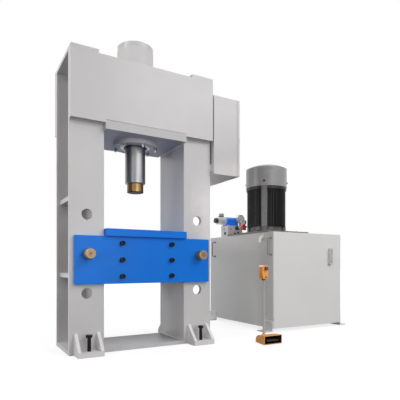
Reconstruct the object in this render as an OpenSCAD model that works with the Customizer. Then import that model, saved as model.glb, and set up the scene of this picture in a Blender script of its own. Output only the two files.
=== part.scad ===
// Hydraulic press: a welded frame with a pinned table, a flanged cylinder in its crown,
// a control cabinet on its side, an oil power unit beside it and a foot station on the floor.
// Origin: middle of the frame's base on the floor. +X is right, +Y is rear, +Z is up.

/* [Frame] */
// Width over both columns
frame_w = 1060; // [960:10:1300]
// Height from the floor to the top of the column caps
frame_h = 2000; // [1960:10:2300]
// Width of each column
column_w = 228; // [210:2:240]
// Depth over the column plates
column_d = 418; // [390:2:480]
// Thickness of the columns' front and rear plates
column_plate_t = 30; // [20:1:40]
// Thickness of the web on each column's inner side
web_t = 25; // [15:1:30]
// Thickness of the base plate
base_t = 25; // [15:1:40]
// Thickness of the column ribs
rib_t = 30; // [15:1:40]
// Setback of the ribs from the column's outer edge
rib_setback = 21; // [5:1:60]
// Height of each rib's underside above the pin hole below it
rib_over_hole = 100; // [60:5:140]
// Width of each column cap
cap_w = 181; // [150:1:210]
// Thickness of each column cap
cap_t = 24; // [15:1:35]

/* [Crown] */
// Thickness of the crown's front and rear plates
crown_plate_t = 43; // [30:1:55]
// Height of the crown's front and rear plates
crown_plate_h = 445; // [410:5:480]
// Thickness of the bed plate that carries the cylinder
bed_t = 60; // [50:1:75]
// Drop of the bed plate's underside below the crown plates
bed_drop = 42; // [20:1:48]
// Thickness of the crown's lid
lid_t = 30; // [15:1:40]
// Depth of the lid below the crown plates' upper edge
lid_recess = 20; // [0:1:40]
// Clearance of the lid round the barrel
lid_clear = 0.8; // [0.5:0.1:0.9]
// Diameter of the hose hole in the crown's rear plate
hose_hole_d = 60; // [40:1:64]

/* [Feet] */
// Width of each foot
foot_w = 168; // [140:2:200]
// Length of each foot in front of its column
foot_l = 112; // [95:1:150]
// Thickness of each foot's plate
foot_t = 30; // [20:1:40]
// Thickness of the foot's gussets
gusset_t = 20; // [12:1:26]
// Height of the gussets above the foot's plate
gusset_h = 111; // [80:1:150]
// Width of the gussets' crest
gusset_crest = 12; // [6:1:20]
// Height of the gussets' toe
gusset_toe = 6; // [3:1:12]
// Thread diameter of the levelling bolts
level_bolt_d = 24; // [20:1:30]
// Height of the levelling bolts' heads above the floor
level_bolt_h = 136; // [110:1:150]
// Width across flats of the levelling bolts' heads
level_bolt_af = 38; // [36:1:46]
// Height of the levelling bolts' heads
level_head_h = 18; // [12:1:22]
// Distance of the levelling bolts in front of the column
level_bolt_out = 54; // [40:1:60]

/* [Table pins] */
// Diameter of the table pins
pin_d = 70; // [55:1:80]
// Clearance of a pin in its hole, all round
pin_clear = 0.5; // [0.3:0.1:0.9]
// Length of pin that stands out past each table plate
pin_proud = 70; // [30:1:90]
// Chamfer of the pins' ends
pin_chamfer = 5; // [2:1:8]
// Diameter of the centre mark in the pins' ends
pin_centre_d = 12; // [6:1:16]
// Height of the lowest row of pin holes
pin_row_z = 400; // [360:5:440]
// Spacing of the rows of pin holes
pin_pitch = 260; // [235:5:285]
// Number of rows of pin holes
pin_rows = 3; // [2:1:4]
// Row that the table hangs on, counted from the floor
pin_row_used = 2; // [1:1:2]

/* [Table] */
// Setback of the table plates' ends from the columns' outer sides
table_setback = 30; // [5:1:60]
// Height of the table's front and rear plates
table_plate_h = 320; // [300:5:345]
// Thickness of the table's front and rear plates
table_plate_t = 30; // [20:1:40]
// Height of the pins above the table plates' lower edge
table_pin_up = 200; // [180:5:220]
// Running gap between the table plates and the columns
table_gap = 0.8; // [0.5:0.1:0.9]
// Thickness of the table's top plate
table_top_t = 50; // [35:1:65]
// Gap between the top plate and each column
table_side_gap = 3; // [1:0.5:6]
// Overhang of the top plate past the table plates
table_lip = 22; // [5:1:40]
// Chamfer along the top plate's front and rear upper edges
table_edge = 3; // [1:0.5:6]
// Thickness of the table's cross webs
cross_web_t = 40; // [34:1:50]
// Distance of each cross web from the press's middle
cross_web_x = 185; // [160:5:210]
// Thread diameter of the table bolts
table_bolt_d = 20; // [16:1:24]
// Head diameter of the table bolts
table_bolt_head_d = 34; // [32:1:38]
// Rows of table bolts
table_bolt_rows = 3; // [2:1:3]
// Depth of the highest table bolts below the plates' top
table_bolt_down = 46; // [40:1:56]
// Height of the lowest table bolts above the plates' lower edge
table_bolt_up = 50; // [40:1:60]
// Depth of the table bolts in the cross webs
table_bolt_bite = 40; // [25:1:50]

/* [Cylinder] */
// Bore of the cylinder
bore_d = 220; // [205:1:240]
// Wall of the cylinder's barrel
barrel_wall = 24; // [18:1:30]
// Clearance of the barrel in the bed plate
barrel_clear = 0.5; // [0.3:0.1:0.9]
// Width of the flange's rim outside the barrel
flange_rim = 30; // [28:1:40]
// Thickness of the flange
flange_t = 30; // [22:1:40]
// Number of flange bolts
flange_bolt_n = 6; // [4:1:8]
// Angle of the first flange bolt
flange_bolt_turn = 30; // [0:5:60]
// Thread diameter of the flange bolts
flange_bolt_d = 16; // [12:1:18]
// Width across flats of the flange nuts
flange_nut_af = 24; // [22:1:26]
// Length of the flange studs below their nuts
flange_stud_tip = 9; // [4:0.5:14]
// Depth of the flange bolts in the bed plate
flange_bolt_bite = 35; // [25:1:45]
// Thickness of the cylinder's end cap
end_cap_t = 40; // [30:1:55]
// Chamfer round the end cap
end_cap_edge = 3; // [1:0.5:6]
// Length of the rod gland
gland_l = 90; // [75:1:100]
// Outer diameter of the rod wiper
wiper_d = 172; // [168:1:180]
// Height of the rod wiper in the gland
wiper_h = 12; // [8:1:16]
// Height of the wiper's lip below the gland
wiper_lip = 3; // [1:0.5:6]
// Diameter of the oil ports
port_d = 24; // [18:1:26]
// Height of the lower oil port above the gland
port_over_gland = 40; // [34:1:46]

/* [Ram] */
// Diameter of the rod
rod_d = 150; // [130:1:158]
// Full stroke of the ram
stroke = 490; // [400:5:520]
// Distance of the ram below its top position, as shown
ram_out = 245; // [150:5:260]
// Length of rod that shows at the top position
rod_stub = 25; // [15:1:40]
// Rounding of the rod's lower edge
rod_round = 8; // [3:1:12]
// Diameter of the rod's spigot in the piston
rod_spigot_d = 90; // [70:1:110]
// Length of the piston's head
piston_head_l = 58; // [50:1:70]
// Length of the piston's narrow skirt
piston_skirt_l = 60; // [55:1:75]
// Diameter of the piston's narrow skirt
piston_skirt_d = 185; // [175:1:195]
// Width of each piston seal
seal_w = 12; // [8:1:16]
// Depth of the piston's seal grooves
seal_groove = 8; // [5:1:10]
// Diameter of the brass nose
nose_d = 122; // [100:1:130]
// Height of the brass nose
nose_h = 63; // [50:1:80]
// Rounding of the nose's lower edge
nose_round = 6; // [2:1:10]
// Diameter of the nose's spigot in the rod
nose_spigot_d = 60; // [40:1:80]
// Length of the nose's spigot
nose_spigot_l = 40; // [25:1:60]

/* [Control cabinet] */
// Depth of the cabinet from its back to its door
cabinet_w = 240; // [220:5:270]
// Width of the cabinet along the frame
cabinet_d = 500; // [470:5:540]
// Height of the cabinet
cabinet_h = 600; // [560:5:640]
// Height of the cabinet's underside
cabinet_z = 1285; // [1260:5:1320]
// Standoff of the cabinet from the columns
cabinet_standoff = 10; // [5:1:20]
// Height of the pads that hold the cabinet off the columns
wall_pad_h = 60; // [40:2:80]
// Distance of the pads from the cabinet's ends
wall_pad_in = 50; // [44:1:80]
// Sheet thickness of the cabinet
cabinet_sheet = 2.5; // [1.5:0.5:4]
// Width of the lip round the cabinet's opening
cabinet_lip = 18; // [14:1:20]
// Depth of the cabinet's door
door_depth = 20; // [16:1:26]
// Gap between the cabinet and its door
door_gap = 2; // [1:0.5:3]
// Distance of the hinges from the cabinet's ends
hinge_in = 110; // [60:5:140]
// Diameter of the hinge knuckles
knuckle_d = 12; // [11:1:14]
// Height of each hinge knuckle
knuckle_h = 30; // [20:1:40]
// Diameter of the hinge pins
hinge_pin_d = 6; // [5:0.5:7]
// Thickness of the hinge leaves
leaf_t = 2.5; // [2:0.5:3]
// Width of the hinge leaves on the cabinet's side
leaf_w = 34; // [20:1:50]
// Gap between the hinge leaves and the door
leaf_gap = 0.6; // [0.4:0.1:1]
// Gap between the hinge knuckles and the cabinet's side
knuckle_gap = 1; // [0.8:0.1:2]
// Diameter of the door lock's spindle
lock_d = 20; // [16:1:22]
// Distance of the door lock from the door's free edge
lock_in = 38; // [36:1:48]
// Length of the door lock's cam
lock_cam_l = 30; // [26:1:34]
// Thickness of the door lock's cam
lock_cam_t = 4; // [3:0.5:6]
// Gap between the cam and the cabinet's lip
lock_cam_gap = 4; // [2:0.5:6]
// Diameter of the door lock's collar
lock_collar_d = 34; // [28:1:40]
// Thickness of the door lock's collar
lock_collar_t = 8; // [4:0.5:10]
// Width of the door lock's grip
lock_grip_w = 12; // [8:1:16]
// Length of the door lock's grip
lock_grip_l = 40; // [30:1:50]
// Height of the door lock's grip above its collar
lock_grip_h = 16; // [10:1:24]
// Clearance behind the mounting plate
plate_back = 14; // [8:1:20]
// Margin of the mounting plate inside the cabinet
plate_margin = 30; // [26:1:45]
// Thickness of the mounting plate
plate_t = 2; // [1.5:0.5:4]
// Diameter of the mounting plate's studs
stud_d = 14; // [8:1:18]
// Distance of the studs from the plate's edges
stud_in = 20; // [12:1:30]
// Thread diameter of the cable glands
gland_d = 20; // [16:1:25]
// Number of cable glands under the cabinet
gland_n = 3; // [2:1:4]
// Spacing of the cable glands
gland_pitch = 42; // [38:1:48]
// Width across flats of the cable glands' nuts
gland_af = 28; // [26:1:34]
// Height of the cable glands' outer nuts
gland_nut_h = 10; // [6:1:14]
// Height of the cable glands' inner nuts
gland_lock_h = 6; // [4:1:10]
// Length of the cable glands' thread in the cabinet
gland_thread_l = 10; // [8:1:16]
// Diameter of the cable glands' domes
gland_dome_d = 25; // [20:1:28]
// Length of the cable glands' domes
gland_dome_l = 16; // [10:1:24]

/* [Control gear] */
// Width of the contactors
contactor_w = 48; // [40:1:56]
// Height of the contactors
contactor_h = 90; // [80:1:100]
// Depth of the contactors' bases
contactor_base = 46; // [36:1:60]
// Depth of the contactors' heads
contactor_head = 38; // [20:1:44]
// Setback of the contactors' heads from their sides
contactor_step = 4; // [2:0.5:8]
// Size of the contactors' terminals
terminal_block = 10; // [6:0.5:12]
// Number of contactors
contactor_n = 3; // [2:1:3]
// Spacing of the contactors
contactor_pitch = 62; // [58:1:66]
// Place of the first contactor along the plate
contactor_y = -40; // [-44:1:-36]
// Width of the main switch
breaker_w = 78; // [70:1:84]
// Height of the main switch
breaker_h = 120; // [100:2:130]
// Place of the main switch along the plate
breaker_y = -135; // [-150:1:-125]
// Height of the upper row above the plate's middle
upper_row = 120; // [110:1:150]
// Height of the middle row above the plate's middle
middle_row = -20; // [-24:1:-10]
// Height of the lower row above the plate's middle
lower_row = -130; // [-160:1:-120]
// Width of the relays
relay_w = 16; // [12:0.5:18]
// Height of the relays
relay_h = 52; // [40:1:60]
// Depth of the relays
relay_t = 40; // [30:1:60]
// Depth of the relays' heads
relay_head_t = 8; // [4:0.5:12]
// Number of relays
relay_n = 12; // [6:1:14]
// Spacing of the relays
relay_pitch = 20; // [19:0.5:22]
// Place of the first relay along the plate
relay_y = -110; // [-150:1:-100]
// Size of the power supply: depth, width and height
supply_size = [72, 120, 90]; // [40:1:130]
// Place of the power supply along the plate
supply_y = -100; // [-130:1:-80]
// Size of the timer: depth, width and height
timer_size = [60, 100, 80]; // [40:1:110]
// Place of the timer along the plate
timer_y = 90; // [70:1:130]

/* [Oil tank] */
// Distance between the frame and the tank
tank_apart = 698; // [680:2:800]
// Setback of the tank's front from the columns' front
tank_setback = 77; // [0:1:150]
// Width of the tank
tank_w = 845; // [800:5:950]
// Depth of the tank
tank_d = 1060; // [1020:5:1200]
// Height of the tank's body
tank_h = 850; // [780:5:920]
// Height of the tank's floor above the ground
tank_up = 30; // [20:1:60]
// Wall of the tank
tank_wall = 5; // [3:0.5:8]
// Thickness of the tank's top
tank_top_t = 8; // [5:0.5:12]
// Radius of the tank's upright edges
tank_corner_r = 12; // [6:1:25]
// Width of the tank's feet
tank_foot_w = 120; // [90:2:160]
// Height of the tank's feet
tank_foot_h = 90; // [70:1:130]
// Reach of the tank's feet along the floor
tank_foot_l = 80; // [50:1:110]
// Thickness of the tank's feet
tank_foot_t = 8; // [5:0.5:12]
// Width of the cover plate on the tank
cover_w = 516; // [440:4:600]
// Setback of the cover plate from the tank's front
cover_front_in = 112; // [60:2:200]
// Length of the cover plate left of the motor's axis
cover_left = 284; // [230:2:300]
// Length of the cover plate behind the motor's axis
cover_behind = 292; // [240:2:310]
// Thickness of the cover plate
cover_t = 22; // [10:1:25]
// Corner radius of the cover plate
cover_r = 20; // [8:1:40]
// Clearance round the coupling in the cover plate
cover_hole_clear = 20; // [10:1:30]
// Length of the tank's handles
handle_l = 150; // [110:2:190]
// Reach of the tank's handles
handle_reach = 38; // [36:1:60]
// Bar diameter of the tank's handles
handle_bar_d = 13; // [9:1:16]
// Bend radius of the tank's handles
handle_bend = 16; // [10:1:22]
// Width of the rim of the handles' feet
handle_foot_rim = 5; // [3:0.5:8]
// Thickness of the handles' feet
handle_foot_t = 4; // [2:0.5:8]
// Distance of the front handle from the tank's front
handle_front_in = 34; // [30:2:100]
// Distance of the rear handle from the tank's rear
handle_rear_in = 109; // [35:1:130]
// Distance of the handles' middle below the tank's top
handle_down = 126; // [100:2:160]
// Width of the level gauge
level_w = 44; // [40:1:64]
// Height of the level gauge
level_h = 164; // [130:2:200]
// Thickness of the level gauge
level_t = 22; // [16:1:30]
// Width of the level gauge's window
level_window_w = 22; // [10:1:26]
// Height of the level gauge's window
level_window_h = 128; // [90:2:140]
// Distance of the level gauge from the tank's right side
level_in = 155; // [80:1:200]
// Distance of the level gauge's middle below the tank's top
level_down = 212; // [150:2:260]
// Bore of the elbow port
elbow_bore = 24; // [18:1:28]
// Outer diameter of the elbow port
elbow_d = 34; // [32:1:42]
// Bend radius of the elbow port
elbow_bend = 26; // [24:1:40]
// Collar diameter of the elbow port
elbow_collar_d = 42; // [40:1:50]
// Thickness of the elbow port's collar
elbow_collar_t = 8; // [5:0.5:12]
// Length of the elbow port's neck
elbow_neck_l = 6; // [3:0.5:12]
// Length of the elbow port's end sleeve
elbow_end_l = 12; // [8:0.5:24]
// Distance of the elbow port from the tank's front
elbow_in = 148; // [140:1:190]
// Distance of the elbow port below the tank's top
elbow_down = 44; // [36:1:80]

/* [Motor and pump] */
// Distance of the motor from the tank's left side
motor_in_x = 305; // [300:1:360]
// Gap between the cover plate and the manifold
cover_gap = 81; // [60:1:160]
// Diameter of the motor's core
motor_core_d = 340; // [320:2:360]
// Height of the motor's cooling fins
fin_h = 21; // [12:1:28]
// Thickness of the motor's cooling fins
fin_t = 5; // [3:0.5:7]
// Spacing of the motor's cooling fins
fin_pitch = 15; // [13:0.5:20]
// Number of fins on each side of the motor
fin_n = 15; // [9:2:15]
// Width of the motor's smooth corner pads
pad_w = 56; // [40:1:66]
// Height of the motor's finned body
motor_body_h = 393; // [340:1:430]
// Height of the motor's lower end shield
motor_shield_h = 46; // [30:1:60]
// Diameter of the motor's lower end shield
motor_shield_d = 318; // [300:2:330]
// Thickness of the motor's flange
motor_flange_t = 16; // [12:1:30]
// Diameter of the motor's flange
motor_flange_d = 386; // [376:2:420]
// Diameter of the bosses on the motor's flange
motor_boss_d = 50; // [40:1:56]
// Height of the fan cowl's seat
cowl_seat_h = 30; // [16:1:32]
// Outer diameter of the fan cowl
cowl_d = 406; // [400:1:440]
// Height of the fan cowl's straight side
cowl_side_h = 186; // [160:1:230]
// Height of the fan cowl's sloping shoulder
cowl_shoulder_h = 24; // [14:1:40]
// Diameter of the fan cowl's flat top
cowl_top_d = 300; // [280:2:340]
// Sheet thickness of the fan cowl
cowl_sheet = 3; // [2:0.5:4]
// Depth of the fan cowl's skirt over the motor's body
cowl_skirt = 2; // [1:0.5:12]
// Diameter of the holes in the fan cowl
cowl_hole_d = 14; // [10:0.5:16]
// Spacing of the rings of holes in the fan cowl
cowl_ring_pitch = 24; // [22:1:27]
// Number of rings of holes in the fan cowl
cowl_rings = 5; // [3:1:5]
// Diameter of the motor's shaft
shaft_d = 55; // [45:1:65]
// Diameter of the motor's rotor
rotor_d = 208; // [180:2:230]
// Length of the motor's rotor
rotor_l = 260; // [220:2:300]
// Gap between rotor and stator
rotor_gap = 1; // [0.5:0.1:2]
// Gap at each end of the rotor
rotor_end_gap = 4; // [2:0.5:8]
// Length of shaft above the fan
shaft_over = 6; // [2:1:12]
// Diameter of the fan
fan_d = 330; // [280:2:360]
// Height of the fan's blades
fan_h = 64; // [40:1:80]
// Diameter of the fan's hub
fan_hub_d = 96; // [84:1:120]
// Thickness of the fan's blades
fan_blade_t = 5; // [3:0.5:8]
// Number of fan blades
fan_blades = 9; // [6:1:12]
// Height of the fan above the cowl's seat
fan_up = 40; // [20:1:60]
// Thickness of the fan's disc
fan_disc_t = 4; // [2:0.5:6]
// Setback of the blades from the disc's rim
fan_blade_in = 4; // [1:0.5:8]
// Width of the motor's terminal box
terminal_w = 150; // [120:2:170]
// Height of the motor's terminal box
terminal_h = 170; // [140:2:200]
// Depth of the motor's terminal box
terminal_d = 78; // [60:1:100]
// Distance of the terminal box below the motor's top
terminal_down = 30; // [25:1:60]
// Diameter of the bell housing
bell_d = 240; // [220:2:260]
// Wall of the bell housing
bell_wall = 14; // [10:1:20]
// Height of the bell housing
bell_h = 190; // [180:2:220]
// Width of the bell housing's upper flange
bell_rim = 40; // [25:1:45]
// Clearance of the bell housing in the tank's top
bell_clear = 5; // [2:0.5:10]
// Diameter of the hole in the bell housing's floor
bell_hole_d = 110; // [90:2:130]
// Diameter of the coupling
coupling_d = 120; // [100:2:140]
// Height of the coupling
coupling_h = 110; // [90:2:120]
// Height of the coupling above the bell housing's floor
coupling_up = 34; // [20:1:40]
// Gap between the two shafts in the coupling
coupling_gap = 6; // [2:1:12]
// Width of the groove round the coupling
coupling_groove_w = 16; // [8:1:24]
// Depth of the groove round the coupling
coupling_groove = 8; // [4:1:12]
// Diameter of the pump's body
pump_d = 150; // [120:2:180]
// Height of the pump's body
pump_h = 180; // [140:2:240]
// Diameter of the pump's mounting flange
pump_flange_d = 200; // [190:2:220]
// Thickness of the pump's mounting flange
pump_flange_t = 18; // [12:1:26]
// Diameter of the pump's shaft
pump_shaft_d = 35; // [28:1:42]
// Height of the pump shaft's end above the pump's base
pump_seat = 30; // [20:1:50]
// Diameter of the pump's suction pipe
suction_d = 64; // [50:1:80]
// Length of the pump's suction pipe
suction_l = 90; // [60:2:140]
// Wall of the pump's suction pipe
suction_wall = 6; // [3:0.5:10]
// Thickness of the suction pipe's inner end
suction_floor = 10; // [4:1:16]

/* [Valves] */
// Width of the manifold
manifold_w = 188; // [180:1:240]
// Depth of the manifold
manifold_d = 130; // [126:1:160]
// Height of the manifold
manifold_h = 128; // [115:1:150]
// Distance of the manifold from the tank's left side
manifold_in_x = 90; // [40:1:120]
// Distance of the manifold from the tank's rear
manifold_in_y = 83; // [40:1:100]
// Depth of the manifold's oil ports
manifold_port_l = 30; // [20:1:40]
// Spacing of the manifold's oil ports
manifold_port_pitch = 96; // [80:1:120]
// Height of the manifold's oil ports
manifold_port_up = 56; // [40:1:70]
// Width of the directional valve
valve_w = 140; // [130:1:150]
// Depth of the directional valve
valve_d = 90; // [80:1:96]
// Height of the valve's axis above the manifold
valve_axis_up = 52; // [48:1:60]
// Diameter of the valve's rounded body
valve_round_d = 88; // [80:1:94]
// Height of the valve's square foot
valve_foot_h = 46; // [34:1:54]
// Distance of the valve from the manifold's rear
valve_in = 10; // [8:1:14]
// Shift of the valve to the left on the manifold
valve_left = 12; // [0:1:20]
// Diameter of the valve's spool
spool_d = 24; // [18:1:30]
// Length of the valve's spool
spool_l = 124; // [110:1:128]
// Diameter of the lands' relief on the spool
spool_neck_d = 16; // [12:1:18]
// Diameter of the solenoids
solenoid_d = 82; // [60:1:88]
// Length of the solenoids
solenoid_l = 98; // [90:1:120]
// Diameter of the solenoids' end nuts
solenoid_nut_d = 54; // [40:1:60]
// Length of the solenoids' end nuts
solenoid_nut_l = 30; // [24:1:44]
// Width of the solenoids' plugs
plug_w = 42; // [34:1:48]
// Height of the solenoids' plugs
plug_h = 23; // [18:1:40]
// Height of the seats under the plugs
plug_seat_h = 13; // [10:1:22]
// Shift of the plugs on their seats
plug_shift = 4; // [0:0.5:8]
// Setback of the plugs from their seats' edges
plug_step = 4; // [1:0.5:8]
// Distance of the relief valve from the manifold's right side
relief_in = 75; // [60:1:90]
// Height of the relief valve above the tank
relief_up = 102; // [84:1:104]
// Thread diameter of the relief valve
relief_thread_d = 32; // [26:1:36]
// Length of the relief valve's thread in the manifold
relief_thread_l = 44; // [30:1:60]
// Width across flats of the relief valve's hexagon
relief_af = 41; // [38:1:44]
// Length of the relief valve's hexagon
relief_hex_l = 20; // [14:1:26]
// Length of the relief valve's sleeve
relief_sleeve_l = 90; // [40:1:110]
// Diameter of the relief valve's sleeve
relief_sleeve_d = 32; // [26:1:36]
// Diameter of the relief valve's spindle
spindle_d = 12; // [10:1:14]
// Thickness of the handwheel
wheel_t = 24; // [16:1:30]
// Thickness of the handwheel's face
wheel_face_t = 4; // [3:0.5:8]
// Gap between the handwheel and the relief valve's sleeve
wheel_gap = 6; // [2:0.5:10]
// Body diameter of the handwheel
wheel_d = 48; // [42:1:54]
// Lobe diameter of the handwheel
lobe_d = 22; // [16:1:26]
// Number of lobes on the handwheel
lobes = 5; // [4:1:7]
// Diameter of the pressure gauge
gauge_d = 92; // [80:1:98]
// Thickness of the pressure gauge
gauge_t = 30; // [24:1:38]
// Rim of the pressure gauge
gauge_rim = 5; // [3:0.5:8]
// Depth of the dial behind the gauge's rim
gauge_recess = 9; // [8:0.5:12]
// Distance of the pressure gauge from the manifold's right side
gauge_in = 18; // [14:1:20]
// Distance of the gauge's front ahead of the manifold's
gauge_ahead = 2; // [0:1:4]
// Length of the pressure gauge's stem above the manifold
gauge_stem_l = 32; // [20:1:40]
// Width across flats of the gauge's stem
gauge_stem_af = 19; // [17:1:22]
// Depth of the gauge's stem in its case
gauge_stem_bite = 3; // [2:0.5:5]
// Thread diameter of the gauge's stem
gauge_thread_d = 14; // [10:1:16]
// Thread length of the gauge's stem
gauge_thread_l = 14; // [10:1:20]
// Diameter of the gauge's arbor
arbor_d = 4; // [3:0.5:5]
// Length of the gauge's arbor in front of its dial
arbor_l = 7; // [5:0.5:8]
// Length of the gauge's needle
needle_l = 31; // [20:1:36]
// Thickness of the gauge's needle
needle_t = 1.5; // [1:0.5:2]
// Width of the gauge's needle
needle_w = 1.6; // [1:0.1:3]
// Length of the needle's tail
needle_tail_l = 9; // [6:0.5:14]
// Width of the needle's tail
needle_tail_w = 2.4; // [1.5:0.1:4]
// Rim of the needle's hub round the arbor
needle_hub_rim = 2.5; // [1.5:0.5:4]
// Distance of the needle from the dial
needle_off = 2; // [1:0.5:3]
// Angle of the needle at rest
needle_rest = 135; // [120:5:150]

/* [Foot station] */
// Distance of the pedal from the press's middle
pedal_x = 867; // [850:1:1000]
// Distance of the pedal's mouth in front of the columns
pedal_ahead = 345; // [330:5:600]
// Width of the pedal's mouth
pedal_w = 167; // [155:1:190]
// Width of the pedal's back
pedal_back_w = 108; // [100:1:120]
// Length of the pedal
pedal_l = 140; // [135:1:160]
// Height of the pedal's hood
pedal_h = 66; // [62:1:100]
// Height of the pedal's back
pedal_back_h = 26; // [20:1:40]
// Length of the hood's level top
hood_l = 40; // [30:1:60]
// Wall of the pedal's hood
hood_wall = 4; // [3:0.5:7]
// Thickness of the pedal's floor
pedal_floor_t = 6; // [4:0.5:9]
// Distance of the treadle's pivot behind the mouth
pivot_in = 84; // [78:1:90]
// Height of the treadle's pivot
pivot_up = 27; // [25:1:32]
// Diameter of the treadle's pivot
pivot_d = 10; // [7:0.5:12]
// Width of the treadle
treadle_w = 108; // [96:1:112]
// Thickness of the treadle
treadle_t = 8; // [6:0.5:10]
// Distance of the treadle's edge behind the mouth
treadle_in = 5; // [2:0.5:12]
// Number of ridges across the treadle
tread_n = 6; // [3:1:6]
// Spacing of the treadle's ridges
tread_pitch = 11; // [9:0.5:12]
// Width of the treadle's ridges
tread_w = 5; // [3:0.5:7]
// Height of the treadle's ridges
tread_h = 1.5; // [1:0.5:2]
// Setback of the ridges from the treadle's edges
tread_in = 6; // [3:0.5:8]
// Gap at the pivot's ends
pivot_end_gap = 2; // [1:0.5:4]
// Diameter of the post
post_d = 16; // [12:1:20]
// Distance of the post from the pedal's back
post_in = 29; // [26:1:32]
// Boss diameter round the post
post_boss_d = 30; // [26:1:34]
// Height of the boss round the post
post_boss_h = 62; // [58:1:90]
// Width of the stop box
stop_w = 60; // [50:1:75]
// Depth of the stop box
stop_d = 50; // [44:1:65]
// Height of the stop box
stop_h = 106; // [95:1:125]
// Height of the stop box's underside above the floor
stop_z = 480; // [420:5:700]
// Corner radius of the stop box
stop_r = 14; // [3:0.5:18]
// Width of the stop box's underside
stop_foot_w = 40; // [34:1:50]
// Height over which the stop box widens
stop_taper_h = 48; // [30:1:56]
// Length of post inside the stop box
post_bite = 20; // [12:1:28]
// Diameter of the stop button
button_d = 28; // [26:1:40]
// Thickness of the stop button
button_t = 9; // [7:0.5:12]
// Diameter of the stop button's stem
button_stem_d = 18; // [14:1:20]
// Height of the stop button's stem outside the box
button_stem_l = 9; // [8:0.5:14]
// Length of the stop button's stem inside the box
button_stem_in = 17; // [12:0.5:20]
// Depth of the stop button's hole in the box
button_hole_l = 30; // [26:0.5:34]
// Distance of the stop button below the box's top
button_down = 26; // [24:0.5:34]

/* [Clearances] */
// Running clearance of pieces that slide or turn, all round
slide_gap = 0.3; // [0.2:0.05:0.5]
// Clearance of bolts and seated pieces, all round
seat_gap = 0.2; // [0.1:0.05:0.3]
// Gap left at each end of the piston's stroke
end_gap = 1.5; // [0.5:0.5:4]
// Depth of a blind hole past the end of its bolt
drill_over = 2; // [1:0.5:4]

/* [Hidden] */
$fn = 64;

// Overshoot of cutting tools past the faces they cut
cut = 1;
// Overlap of forms fused into one piece
fuse = 1;
// Angle between points of the hood's curve
hood_step = 15;
// Width of a cap screw's socket as a share of its thread
socket_share = 0.85;

// Colours
grey_paint = [0.76, 0.75, 0.75];
dark_paint = [0.30, 0.31, 0.32];
blue_paint = [0.10, 0.42, 0.80];
orange_paint = [0.88, 0.55, 0.18];
red_plastic = [0.70, 0.08, 0.08];
black_oxide = [0.07, 0.07, 0.08];
bright_steel = [0.80, 0.81, 0.83];
plain_steel = [0.55, 0.55, 0.56];
tan_steel = [0.60, 0.48, 0.36];
brass = [0.78, 0.62, 0.32];
rubber = [0.10, 0.10, 0.10];

// Frame
half_w = frame_w / 2;
column_in = half_w - column_w;
column_x = half_w - column_w / 2;
column_y = column_d / 2;
plates_top = frame_h - cap_t;
inner_y = column_y - column_plate_t;
pin_z = pin_row_z + (pin_row_used - 1) * pin_pitch;
pin_hole_d = pin_d + 2 * pin_clear;
top_row_z = pin_row_z + (pin_rows - 1) * pin_pitch;

// Crown
crown_y = column_y + crown_plate_t;
crown_low = plates_top - crown_plate_h;
bed_low = crown_low - bed_drop;
bed_top = bed_low + bed_t;
lid_top = plates_top - lid_recess;

// Table
table_in_y = column_y + table_gap;
table_out_y = table_in_y + table_plate_t;
table_end = half_w - table_setback;
table_low = pin_z - table_pin_up;
table_plate_top = table_low + table_plate_h;
table_bolt_pitch = (table_plate_h - table_bolt_up - table_bolt_down) / (table_bolt_rows - 1);
table_top_z = table_plate_top + table_top_t;

// Cylinder and ram
barrel_d = bore_d + 2 * barrel_wall;
flange_d = barrel_d + 2 * flange_rim;
flange_bolt_r = (barrel_d + flange_rim) / 2;
flange_low = bed_low - flange_t;
gland_top = flange_low + gland_l;
piston_l = piston_skirt_l + piston_head_l;
barrel_top = gland_top + piston_l + stroke + 2 * end_gap;
cylinder_top = barrel_top + end_cap_t;
port_z = gland_top + port_over_gland;
piston_low = gland_top + end_gap + stroke - ram_out;
piston_top = piston_low + piston_l;
piston_d = bore_d - 2 * slide_gap;
rod_low = flange_low - rod_stub - ram_out;
nose_low = rod_low - nose_h;
rod_run_d = rod_d + 2 * slide_gap;

// Cabinet
cabinet_x = half_w + cabinet_standoff;
cabinet_front = cabinet_x + cabinet_w;
shell_front = cabinet_front - door_depth - door_gap;
cabinet_top = cabinet_z + cabinet_h;
hinge_x = cabinet_front - door_depth / 2;
hinge_y = cabinet_d / 2 + knuckle_d / 2 + knuckle_gap;
lock_y = -cabinet_d / 2 + lock_in;
lock_z = cabinet_z + cabinet_h / 2;
plate_x = cabinet_x + cabinet_sheet + plate_back;
gear_x = plate_x + plate_t;

// Power unit
tank_x = half_w + tank_apart;
tank_y = -column_y + tank_setback;
tank_rear = tank_y + tank_d;
tank_top = tank_up + tank_h;
cover_top = tank_top + cover_t;
motor_x = tank_x + motor_in_x;
manifold_rear = tank_rear - manifold_in_y;
manifold_front = manifold_rear - manifold_d;
cover_rear = manifold_front - cover_gap;
motor_y = cover_rear - cover_behind;
motor_d = motor_core_d + 2 * fin_h;
motor_body_z = cover_top + motor_flange_t + motor_shield_h;
motor_top = motor_body_z + motor_body_h;
cowl_low = motor_top - cowl_skirt;
cowl_shoulder = cowl_low + cowl_side_h;
cowl_top = cowl_shoulder + cowl_shoulder_h;
cowl_seat_d = cowl_d - 2 * cowl_sheet - 2 * seat_gap;
rotor_z = motor_body_z + (motor_body_h - rotor_l) / 2;
fan_z = motor_top + cowl_seat_h + fan_up;
bell_low = tank_top - bell_h;
bell_flange_d = bell_d + 2 * bell_rim;
tank_hole_d = bell_flange_d + 2 * bell_clear;
coupling_low = bell_low + bell_wall + coupling_up;
coupling_mid = coupling_low + coupling_h / 2;
pump_low = bell_low - pump_h;

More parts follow.
